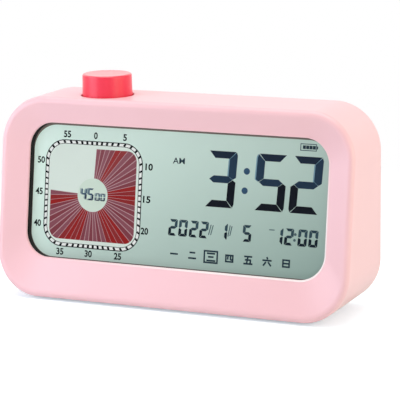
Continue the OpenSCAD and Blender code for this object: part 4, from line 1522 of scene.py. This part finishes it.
@dataclass
class Display:
    """Time, date, weekday row and small signs of the display, along and up the face."""

    face: Face
    time_low: float = 36.75
    time_row: tuple[tuple[str, float], ...] = (("3", 10.75), ("5", 29.4), ("2", 42.35))
    colon: tuple[Flat, ...] = ((25.95, 49.86), (25.46, 43.14))
    colon_r: float = 1.15
    colon_points: int = 30
    # Sideways shift of the painted post shadow.
    post_shadow_shift: float = -0.45
    date_low: float = 25.6
    date_row: tuple[tuple[str, float], ...] = (
        ("2", -2.7), ("0", 1.2), ("2", 5.3), ("2", 9.2), ("1", 16.4), ("5", 25.45),
        ("1", 37.1), ("2", 41.0), ("0", 45.95), ("0", 49.9),
    )
    slashes: tuple[tuple[Flat, Flat], ...] = (
        ((12.65, 26.9), (13.5, 30.5)), ((13.45, 26.9), (14.3, 30.4)),
        ((20.0, 26.9), (20.7, 30.8)), ((20.7, 27.2), (21.4, 30.6)),
    )
    slash_w: float = 0.35
    dash: tuple[Flat, Flat] = ((35.25, 30.4), (37.25, 30.45))
    date_dots: tuple[Flat, ...] = ((44.9, 29.5), (44.7, 27.5))
    dot_r: float = 0.5
    dot_points: int = 12
    week_start: Flat = (-0.2, 19.3)
    week_pitch: float = 7.04
    week_line: float = 0.6
    half_day: Flat = (0.1, 51.9)
    half_day_size: Flat = (2.3, 2.1)
    half_day_weight: float = 0.012
    battery: Flat = (48.2, 59.4)
    battery_half: Flat = (3.0, 1.25)
    battery_line: float = 0.3
    terminal_x: float = 3.2
    terminal: Flat = (0.4, 0.5)
    bars: int = 4
    bar_x: float = -1.55
    bar_pitch: float = 1.2
    bar: Flat = (1.08, 0.62)
    # Tone of the painted shadow that the posts cast on the reflector.
    post_shadow: Colour = srgb(122, 158, 176)
    mark: Colour = srgb(50, 66, 76)
    soft: Colour = srgb(84, 106, 112)
    dot: Colour = srgb(62, 90, 118)

    def figures(
        self, sheet: InkSheet, style: FigureStyle, row: Iterable[tuple[str, float]], low: float
    ) -> None:
        """Lays a row of figures.

        Args:
            sheet: Sheet to lay them on.
            style: Style of the row.
            row: Each figure and its left edge.
            low: Lower edge of the row.
        """
        for figure, left in row:
            for key in FIGURES[figure]:
                segment = Segment(key)
                sheet.lay(style.outline(segment, left, low), style.tone(segment), Layer.MARK)

    def time(self) -> None:
        """Lays the time, with the painted shadow that the raised upper posts cast on the reflector, shifted
        to one side.
        """
        sheet, style = InkSheet("time_figures", self.face), TIME_STYLE
        for figure, left in self.time_row:
            for segment in (Segment.UPPER_LEFT, Segment.UPPER_RIGHT):
                if segment.value in FIGURES[figure]:
                    # Painted shadow of the upper posts on the reflector.
                    sheet.lay(style.outline(segment, left + self.post_shadow_shift, self.time_low), self.post_shadow)
        self.figures(sheet, style, self.time_row, self.time_low)
        for spot in self.colon:
            sheet.lay(circle(spot, self.colon_r, self.colon_points), self.dot, Layer.MARK)
        sheet.done()

    def date(self) -> None:
        """Lays the date and the second time with the strokes between them."""
        sheet = InkSheet("date_figures", self.face)
        self.figures(sheet, DATE_STYLE, self.date_row, self.date_low)
        for start, end in self.slashes:
            sheet.stroke(start, end, self.slash_w, self.soft)
        sheet.stroke(*self.dash, self.slash_w, self.soft)
        for spot in self.date_dots:
            sheet.lay(circle(spot, self.dot_r, self.dot_points), self.soft)
        sheet.done()

    def weekdays(self) -> None:
        """Lays the row of plain numerals for the days, with a box round the third."""
        sheet = InkSheet("weekday_row", self.face)
        for day, (strokes, boxes) in enumerate(DAY_SIGNS):
            centre = (self.week_start[0] + day * self.week_pitch, self.week_start[1])
            for x0, y0, x1, y1 in strokes:
                start, end = (centre[0] + x0, centre[1] + y0), (centre[0] + x1, centre[1] + y1)
                sheet.stroke(start, end, self.week_line, self.mark, Layer.MARK)
            for half in boxes:
                sheet.frame(centre, half, self.week_line, self.mark)
        sheet.done()

    def signs(self) -> None:
        """Lays the half-day sign and the battery sign."""
        sheet = InkSheet("display_signs", self.face)
        sheet.text("AM", self.half_day, self.half_day_size, self.mark, self.half_day_weight)
        x, up = self.battery
        sheet.frame((x, up), self.battery_half, self.battery_line, self.soft)
        strokes = [(self.terminal_x, self.terminal)]
        strokes += [(self.bar_x + self.bar_pitch * i, self.bar) for i in range(self.bars)]
        for shift, (width, half) in strokes:
            sheet.stroke((x + shift, up - half), (x + shift, up + half), width, self.mark)
        sheet.done()

    def build(self) -> None:
        """Lays all rows."""
        self.time()
        self.date()
        self.weekdays()
        self.signs()


class GeometryTree(NodeSheet):
    """A tree of geometry nodes with named inputs."""

    def __init__(self, name: str) -> None:
        """Starts a tree that takes and gives geometry.

        Args:
            name: Name of the tree.
        """
        super().__init__(bpy.data.node_groups.new(name, "GeometryNodeTree"))
        self.keys: dict[str, str] = {}
        self.values: dict[str, object] = {}
        self.socket("Geometry", "NodeSocketGeometry")
        self.socket("Geometry", "NodeSocketGeometry", into=False)

    def size(self, name: str, kind: str, value: object) -> None:
        """Adds a named input and keeps the value that it gets."""
        self.keys[name] = self.socket(name, kind)
        self.values[name] = value

    def close(self, instances: bpy.types.NodeSocket, material: bpy.types.NodeSocket) -> None:
        """Ends the tree in real geometry with its material.

        Args:
            instances: The instances that the tree has made.
            material: Input that holds the material.
        """
        real = self.made("GeometryNodeRealizeInstances", {"Geometry": instances})
        dressed = self.made("GeometryNodeSetMaterial", {"Geometry": real.outputs[0], "Material": material})
        self.feed(self.add("NodeGroupOutput").inputs["Geometry"], dressed.outputs[0])

    def run(self, mesh: bpy.types.Mesh) -> bpy.types.Mesh:
        """Runs the tree on a mesh.

        Args:
            mesh: Geometry that the tree takes.

        Returns:
            The plain mesh that results.
        """
        def add(bench: bpy.types.Object) -> None:
            """Adds the tree with its values.

            Args:
                bench: Object that the tree runs on.
            """
            step = bench.modifiers.new(self.tree.name, "NODES")
            step.node_group = self.tree
            for name, value in self.values.items():
                step[self.keys[name]] = value

        return evaluated(mesh, add)


def set_out(
    name: str, shape: bpy.types.Mesh, spots: Sequence[Solid], finish: Finish, turn: Solid
) -> bpy.types.Mesh:
    """Sets a shape out on several spots with geometry nodes.

    Args:
        name: Name of the tree.
        shape: The shape, made at the origin.
        spots: Places in millimetres.
        finish: Finish of the shapes.
        turn: Largest random turn about each axis, in radians.

    Returns:
        One mesh with every shape in its place.
    """
    pattern = linked("pattern", shape)
    tree = GeometryTree(name)
    tree.size("Shape", "NodeSocketObject", pattern)
    tree.size("Turn", "NodeSocketVector", turn)
    tree.size("Seed", "NodeSocketInt", TURN_SEED)
    tree.size("Finish", "NodeSocketMaterial", finish.material())
    given = tree.add("NodeGroupInput").outputs
    source = tree.made("GeometryNodeObjectInfo", {"Object": given["Shape"]})
    still = (0.0, 0.0, 0.0)
    angle = tree.ordered("FunctionNodeRandomValue", still, given["Turn"], data_type="FLOAT_VECTOR")
    tree.feed(angle.inputs["Seed"], given["Seed"])
    feeds = {
        "Points": given["Geometry"], "Instance": source.outputs["Geometry"], "Rotation": angle.outputs[0],
    }
    tree.close(tree.made("GeometryNodeInstanceOnPoints", feeds).outputs[0], given["Finish"])
    points = bpy.data.meshes.new("spots")
    points.from_pydata([Vector(spot) * MM for spot in spots], [], [])
    mesh = tree.run(points)
    bpy.data.objects.remove(pattern)
    return mesh


@dataclass
class Dial:
    """Minute dial of the display: the track with its ticks, the figures and the red fan."""

    face: Face
    centre: Flat = (-33.15, 37.6)
    half: Flat = (19.4, 19.25)
    corner: float = 7.7
    band: float = 1.5
    outer_line: float = 0.32
    inner_line: float = 0.2
    ticks: int = 60
    tick_w: float = 0.85
    tick_thin: float = 0.6
    fan_half: Flat = (16.95, 16.45)
    fan_corner: float = 3.8
    disc_r: float = 6.0
    minutes: int = 45
    strip_gap: float = 0.25
    burst_gap: float = 0.12
    disc_gap: float = 0.1
    disc_points: int = 48
    loop_steps: int = 10
    minute_steps: int = 4
    figure_step: int = 5
    wash: float = 0.08
    bursts: tuple[tuple[int, int], ...] = ((5, 6), (13, 16), (23, 26), (33, 36), (43, 44))
    figure_spots: tuple[Flat, ...] = (
        (0.35, 21.2), (11.95, 21.2), (21.85, 11.4), (21.45, -0.1), (21.1, -11.3), (10.95, -21.05),
        (-0.75, -21.05), (-12.25, -21.05), (-21.85, -11.4), (-21.65, 0.1), (-21.25, 11.45), (-11.05, 21.2),
    )
    figure_size: Flat = (1.45, 2.45)
    figure_weight: float = 0.03
    count_low: float = 35.7
    count_row: tuple[tuple[str, float], ...] = (("4", -37.7), ("5", -35.0))
    fine_row: tuple[tuple[str, float], ...] = (("0", -31.9), ("0", -29.8))
    line: Colour = srgb(30, 34, 38)
    cell: Colour = srgb(250, 253, 250)
    panel: Colour = srgb(232, 245, 236)
    disc: Colour = srgb(221, 238, 224)
    backing: Colour = srgb(196, 158, 164)
    figure: Colour = srgb(28, 38, 40)
    red: Colour = srgb(160, 44, 44)
    deep_red: Colour = srgb(150, 52, 54)
    mauve: Colour = srgb(144, 86, 97)
    deep_mauve: Colour = srgb(136, 69, 79)
    shadow: Colour = srgb(150, 170, 172)
    shadow_shift: float = -0.5

    def at(self, points: Iterable[Flat]) -> list[Flat]:
        """Moves points from the middle of the dial to their place on the face."""
        return [(self.centre[0] + x, self.centre[1] + y) for x, y in points]

    def loop(self, inset: float) -> list[Flat]:
        """Gives the rounded outline of the track, drawn in by an inset."""
        return rounded_box(self.half[0] - inset, self.half[1] - inset, self.corner - inset, self.loop_steps)

    def rim(self, turn: float, half: Flat, corner: float) -> Flat:
        """Gives the point of a rounded outline in one direction.

        Args:
            turn: Clockwise turn from the top in degrees.
            half: Half width and half height of the outline.
            corner: Corner radius of the outline.

        Returns:
            The point from the middle of the dial.
        """
        way = Vector((math.sin(math.radians(turn)), math.cos(math.radians(turn))))
        reach = min(side / max(abs(part), TINY) for side, part in zip(half, way))
        core = [side - corner for side in half]
        if abs(way.x) * reach > core[0] and abs(way.y) * reach > core[1]:
            hub = Vector((math.copysign(core[0], way.x), math.copysign(core[1], way.y)))
            along = way.dot(hub)
            reach = along + math.sqrt(along * along - hub.length_squared + corner ** 2)
        return (way.x * reach, way.y * reach)

    def strip(self, start: float, end: float, gap: float) -> list[Flat]:
        """Gives the outline of a strip of the fan.

        Args:
            start: First minute.
            end: Last minute.
            gap: Width of the gap to the next strip.

        Returns:
            The points from the middle of the dial.
        """
        steps = round(self.minute_steps * (end - start))
        inner_cut = math.degrees(gap / 2 / self.disc_r)
        outer_cut = math.degrees(gap / 2 / self.fan_half[0])
        turn = 360 / self.ticks
        outer = [mix(start * turn + outer_cut, end * turn - outer_cut, i / steps) for i in range(steps + 1)]
        inner = [mix(end * turn - inner_cut, start * turn + inner_cut, i / steps) for i in range(steps + 1)]
        points = [self.rim(t, self.fan_half, self.fan_corner) for t in outer]
        points += [
            (self.disc_r * math.sin(math.radians(t)), self.disc_r * math.cos(math.radians(t))) for t in inner
        ]
        return points

    def burst(self, minute: int) -> bool:
        """Tells whether a strip is one of the red ones."""
        return any(first <= minute <= last for first, last in self.bursts)

    def shade(self, minute: int) -> Colour:
        """Gives the tone of a strip: two reds or two mauves in turn, paler towards the top.

        Args:
            minute: Minute of the strip.

        Returns:
            Its tone.
        """
        pair = (self.deep_red, self.red) if self.burst(minute) else (self.deep_mauve, self.mauve)
        tone = pair[minute % 2]
        share = self.wash * max(0.0, math.cos(2 * math.pi * minute / self.ticks))
        return tuple(mix(a, b, share) for a, b in zip(tone, self.backing))

    def fan(self) -> None:
        """Lays the panel, the strips, each about its minute, and the disc."""
        sheet = InkSheet("minute_fan", self.face)
        sheet.lay(self.at(self.loop(self.band)), self.panel)
        sheet.lay(self.at(self.strip(0.5, self.minutes + 0.5, 0)), self.backing, Layer.MARK)
        for minute in range(1, self.minutes + 1):
            gap = self.burst_gap if self.burst(minute) else self.strip_gap
            strip = self.at(self.strip(minute - 0.5, minute + 0.5, gap))
            sheet.lay(strip, self.shade(minute), Layer.OVER)
        disc = circle((0, 0), self.disc_r - self.disc_gap, self.disc_points)
        sheet.lay(self.at(disc), self.disc, Layer.MARK)
        sheet.done()

    def track(self) -> None:
        """Lays the white track between its two lines, and its ticks."""
        sheet = InkSheet("minute_track", self.face)
        rim, foot = self.at(self.loop(0)), self.at(self.loop(self.band))
        high = self.at(self.loop(self.outer_line))
        low = self.at(self.loop(self.band - self.inner_line))
        sheet.lay(rim, self.line, Layer.MARK, high)
        sheet.lay(high, self.cell, Layer.BASE, low)
        sheet.lay(low, self.line, Layer.MARK, foot)
        sheet.done()
        place_piece("minute_ticks", self.tick_mesh(sheet), Finishes.TICK, Body.CASE)

    def tick_spots(self) -> bpy.types.Mesh:
        """Sets a point in the middle of the track at each half minute.

        Returns:
            A mesh of loose points.
        """
        half, corner = [side - self.band / 2 for side in self.half], self.corner - self.band / 2
        turn = 360 / self.ticks
        points = [self.rim((i + 0.5) * turn, half, corner) for i in range(self.ticks)]
        spots = bpy.data.meshes.new("track_spots")
        spots.from_pydata([(x, y, 0) for x, y in points], [], [])
        return spots

    def tick_mesh(self, sheet: InkSheet) -> bpy.types.Mesh:
        """Points a tick from each spot to the middle of the dial with geometry nodes.

        The upright ticks are wider, as their shadow on the reflector falls to one side.

        Args:
            sheet: Sheet whose film the ticks lie on.

        Returns:
            The mesh of the ticks in their place.
        """
        thick = Layer.MARK * sheet.lift + sheet.root
        tree = GeometryTree("track_ticks")
        tree.size("Tick", "NodeSocketVector", (self.tick_w, self.band - self.outer_line, thick))
        tree.size("Thin", "NodeSocketFloat", self.tick_thin)
        tree.size("Finish", "NodeSocketMaterial", Finishes.TICK.material())
        given = tree.add("NodeGroupInput").outputs
        spot = tree.add("GeometryNodeInputPosition").outputs[0]
        turned = tree.made("FunctionNodeAlignRotationToVector", {"Vector": spot}, axis="Y", pivot_axis="Z")
        way = tree.ordered("ShaderNodeVectorMath", spot, operation="NORMALIZE")
        rise = tree.axes(way.outputs["Vector"])["Y"]
        width = tree.ramp(tree.math("ABSOLUTE", rise), 0.0, 1.0, given["Thin"])
        scale = tree.made("ShaderNodeCombineXYZ", {"X": width, "Y": 1.0, "Z": 1.0})
        tick = tree.made("GeometryNodeMeshCube", {"Size": given["Tick"]})
        feeds = {
            "Points": given["Geometry"], "Instance": tick.outputs[0],
            "Rotation": turned.outputs[0], "Scale": scale.outputs[0],
        }
        tree.close(tree.made("GeometryNodeInstanceOnPoints", feeds).outputs[0], given["Finish"])
        mesh = tree.run(self.tick_spots())
        out = -sheet.film - sheet.root + thick / 2
        mesh.transform(self.face.matrix() @ Matrix.Translation((*self.centre, out)))
        return mesh

    def figures(self) -> None:
        """Lays the figures round the track and the count in the disc."""
        sheet = InkSheet("minute_figures", self.face)
        for i, spot in enumerate(self.at(self.figure_spots)):
            sheet.text(str(self.figure_step * i), spot, self.figure_size, self.figure, self.figure_weight)
        for style, row in ((COUNT_STYLE, self.count_row), (FINE_STYLE, self.fine_row)):
            for figure, left in row:
                for segment in map(Segment, FIGURES[figure]):
                    under = style.outline(segment, left + self.shadow_shift, self.count_low)
                    over = style.outline(segment, left, self.count_low)
                    sheet.lay(under, self.shadow, Layer.OVER)
                    sheet.lay(over, style.tone(segment), Layer.TOP)
        sheet.done()

    def build(self) -> None:
        """Lays the fan, the track and the figures."""
        self.fan()
        self.track()
        self.figures()


@dataclass
class Fasteners:
    """Screws of the rear cover and the rubber pads under the timer."""

    housing: Housing
    screw_x: float = 60.25
    screw_zs: Flat = (17.8, 55.8)
    seat_y: float = 15.7998
    head_r: float = 1.95
    head_h: float = 1.1
    head_round: float = 0.45
    shank_r: float = 1.0
    shank: float = 6.5
    tip: float = 1.0
    slot_half: float = 1.15
    slot_w: float = 0.5
    slot_depth: float = 0.65
    pad_r: float = 4.0
    pad_top: float = 1.58
    pad_round: float = 0.35
    edge_steps: int = 5
    screw_steps: int = 40
    pad_steps: int = 56

    def screw(self) -> bpy.types.Mesh:
        """Turns one screw with its cross slot, its axis towards the back.

        Returns:
            The mesh of the screw at the origin.
        """
        land = self.head_r - self.head_round
        shoulder = (land, self.head_h - self.head_round)
        profile = [(0.0, self.head_h), *arc(shoulder, self.head_round, 90, 0, self.edge_steps)]
        profile += [(self.head_r, 0.0), (self.shank_r, 0.0)]
        profile += [(self.shank_r, self.tip - self.shank), (0.0, -self.shank)]
        place = rearward(0, 0, 0)
        work = lathe(profile, place, self.screw_steps)
        wide, thin = self.slot_half, self.slot_w / 2
        arm = [(wide, -thin), (wide, thin), (thin, thin)]
        cross: list[Flat] = []
        for _ in range(4):
            cross += arm
            arm = [(-y, x) for x, y in arm]
        tool = bmesh.new()
        add_prism(tool, cross, None, self.head_h - self.slot_depth, self.head_h + self.slot_depth, place)
        return carve(to_mesh("screw", work, smooth=False), to_mesh("slot", tool, smooth=False))

    def pad(self) -> bpy.types.Mesh:
        """Turns one rubber pad.

        Returns:
            The mesh of the pad at the origin.
        """
        land = self.pad_r - self.pad_round
        profile = [(0.0, self.pad_top), (self.pad_r, self.pad_top)]
        profile += [*arc((land, self.pad_round), self.pad_round, 0, -90, self.edge_steps), (0.0, 0.0)]
        return to_mesh("pad", lathe(profile, upright(0, 0), self.pad_steps))

    def build(self) -> None:
        """Sets the screws and the pads out."""
        spots = [(side * self.screw_x, self.seat_y, z) for side in (-1, 1) for z in self.screw_zs]
        screws = set_out("screw_spots", self.screw(), spots, Finishes.STEEL, (0.0, math.tau, 0.0))
        place_piece("cover_screw_set", even_normals(screws), Finishes.STEEL, Body.CASE, ["cover_screws"])
        feet = [(x, y, 0.0) for x, y in self.housing.foot_at]
        pads = set_out("pad_spots", self.pad(), feet, Finishes.FOOT, (0.0, 0.0, 0.0))
        place_piece("rubber_feet", even_normals(pads), Finishes.FOOT, Body.CASE, ["foot_pads"])


@dataclass
class RearMouldings:
    """Copies of rear CAD pieces with merged skins and evened normals."""

    copies: tuple[tuple[str, str, Finish, Body], ...] = (
        ("rear_cover", "cover_plate", Finishes.PINK, Body.CASE),
        ("volume_slider", "slider_grip", Finishes.BLACK, Body.SLIDER),
        ("usb_shell", "usb_sleeve", Finishes.STEEL, Body.CASE),
    )

    def build(self) -> None:
        """Copies, merges and dresses each piece."""
        for node, name, finish, body in self.copies:
            work = bmesh.new()
            work.from_mesh(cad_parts[node].data)
            bmesh.ops.remove_doubles(work, verts=work.verts, dist=MERGE)
            place_piece(name, even_normals(to_mesh(name, work)), finish, body, [node])


@dataclass
class Lamp:
    """One soft lamp: where it stands, its width and height, and its share of full light on the timer."""

    name: str
    at: Solid
    size: Flat
    share: float
    colour: Solid


@dataclass
class Studio:
    """Pale floor, soft light and the camera of the photograph."""

    aim: Solid = (8.4942, -5.1202, 37.9237)
    eye: Solid = (286.353, -612.7194, 178.237)
    roll: float = -1.00265
    focal: float = 176.595
    sensor: float = 36.0
    front_light: float = 0.28
    back_light: float = 0.82
    turnover: float = 0.4
    floor_side: float = 8000.0
    clear_from: float = 130.0
    clear_to: float = 260.0
    floor_colour: Colour = (0.83, 0.9, 0.9, 1.0)
    lift: Colour = (0.37, 0.44, 0.48, 1.0)
    lamps: tuple[Lamp, ...] = (
        Lamp("left", (-270.0, -260.0, 150.0), (300.0, 240.0), 0.36, (0.95, 0.96, 1.12)),
        Lamp("top", (-50.0, -100.0, 880.0), (800.0, 600.0), 0.55, (1.0, 1.0, 0.98)),
        Lamp("right", (505.0, -45.0, 160.0), (400.0, 300.0), 0.21, (1.0, 0.92, 0.55)),
        Lamp("corner", (440.0, -235.0, 170.0), (160.0, 240.0), 0.1, (1.0, 0.95, 0.75)),
    )

    def seen(self, sheet: NodeSheet) -> bpy.types.NodeSocket:
        """Tells rays that the eye or a gloss follows from rays that carry light.

        Args:
            sheet: Nodes to add to.

        Returns:
            1 on camera, glossy and transmission rays.
        """
        path = sheet.add("ShaderNodeLightPath").outputs
        near = sheet.math("MAXIMUM", path["Is Camera Ray"], path["Is Glossy Ray"])
        return sheet.math("MAXIMUM", near, path["Is Transmission Ray"])

    def world(self) -> None:
        """Makes a world that looks white, and lights the timer more from the back than from the front."""
        world = bpy.data.worlds.new("white_room")
        bpy.context.scene.world = world
        sheet = NodeSheet.of(world)
        rear = sheet.axes(sheet.add("ShaderNodeTexCoord").outputs["Generated"])["Y"]
        lights = (self.front_light, self.back_light)
        light = sheet.ramp(rear, -self.turnover, self.turnover, *lights, smooth=True)
        strength = sheet.math("MAXIMUM", light, self.seen(sheet))
        back = sheet.made("ShaderNodeBackground", {"Color": WHITE, "Strength": strength})
        sheet.feed(sheet.add("ShaderNodeOutputWorld").inputs["Surface"], back.outputs[0])

    def floor_look(self) -> bpy.types.Material:
        """Makes the floor's material, which keeps the shadow near the timer and fades to white.

        Returns:
            The material.
        """
        made = bpy.data.materials.new("pale_floor")
        sheet = NodeSheet.of(made)
        place = sheet.add("ShaderNodeTexCoord").outputs["Object"]
        reach = sheet.ordered("ShaderNodeVectorMath", place, operation="LENGTH").outputs["Value"]
        share = sheet.ramp(reach, self.clear_from * MM, self.clear_to * MM, smooth=True)
        matt = sheet.made("ShaderNodeBsdfDiffuse", {"Color": self.floor_colour}).outputs[0]
        straight = sheet.add("ShaderNodeLightPath").outputs["Is Camera Ray"]
        glow = sheet.made("ShaderNodeEmission", {"Color": self.lift, "Strength": straight}).outputs[0]
        near = sheet.ordered("ShaderNodeAddShader", matt, glow).outputs[0]
        far = sheet.made("ShaderNodeEmission", {"Color": WHITE, "Strength": 1.0}).outputs[0]
        seen = sheet.math("MULTIPLY", self.seen(sheet), share)
        both = sheet.ordered("ShaderNodeMixShader", seen, near, far).outputs[0]
        sheet.feed(sheet.add("ShaderNodeOutputMaterial").inputs["Surface"], both)
        return made

    def floor(self) -> None:
        """Makes the floor as one square."""
        half = self.floor_side / 2 * MM
        mesh = bpy.data.meshes.new("floor")
        corners = [(-half, -half, 0), (half, -half, 0), (half, half, 0), (-half, half, 0)]
        mesh.from_pydata(corners, [], [(0, 1, 2, 3)])
        mesh.materials.append(self.floor_look())
        ground = linked("floor", mesh)

    def light(self) -> None:
        """Hangs the lamps, each aimed at the timer."""
        target = Vector(self.aim) * MM
        for lamp in self.lamps:
            data = bpy.data.lights.new(lamp.name, "AREA")
            place = Vector(lamp.at) * MM
            data.shape = "RECTANGLE"
            data.size = lamp.size[0] * MM
            data.size_y = lamp.size[1] * MM
            data.color = lamp.colour
            data.energy = lamp.share * (math.pi * (place - target).length) ** 2
            hung = linked(lamp.name, data)
            hung.location = place
            hung.visible_camera = False
            hung.rotation_euler = (target - place).to_track_quat("-Z", "Y").to_euler()

    def camera(self) -> None:
        """Puts the camera where the photograph was taken from."""
        data = bpy.data.cameras.new("camera")
        data.sensor_width = self.sensor
        data.lens = self.focal
        eye, target = Vector(self.eye) * MM, Vector(self.aim) * MM
        turn = (target - eye).to_track_quat("-Z", "Y").to_matrix()
        tip = Matrix.Rotation(math.radians(self.roll), 3, "Z")
        camera = linked("camera", data)
        camera.matrix_world = Matrix.Translation(eye) @ (turn @ tip).to_4x4()
        bpy.context.scene.camera = camera

    def build(self) -> None:
        """Sets up world, floor, lamps, camera and the plain view."""
        self.world()
        self.floor()
        self.light()
        self.camera()
        bpy.context.scene.view_settings.view_transform = "Standard"


def main() -> None:
    """Builds the timer piece by piece and sets up the studio."""
    logging.basicConfig(level=logging.INFO, format="%(name)s: %(message)s")
    face = Face()
    housing = Housing(face)
    dress_nodes()
    front_parts = (housing, WindowTrim(housing), Knob(housing.knob_at), RearButtons())
    rear_parts = (RearMouldings(), Fasteners(housing))
    for part in (*front_parts, *rear_parts, Display(face), Dial(face)):
        part.build()
    Studio().build()


if __name__ == "__main__":
    main()
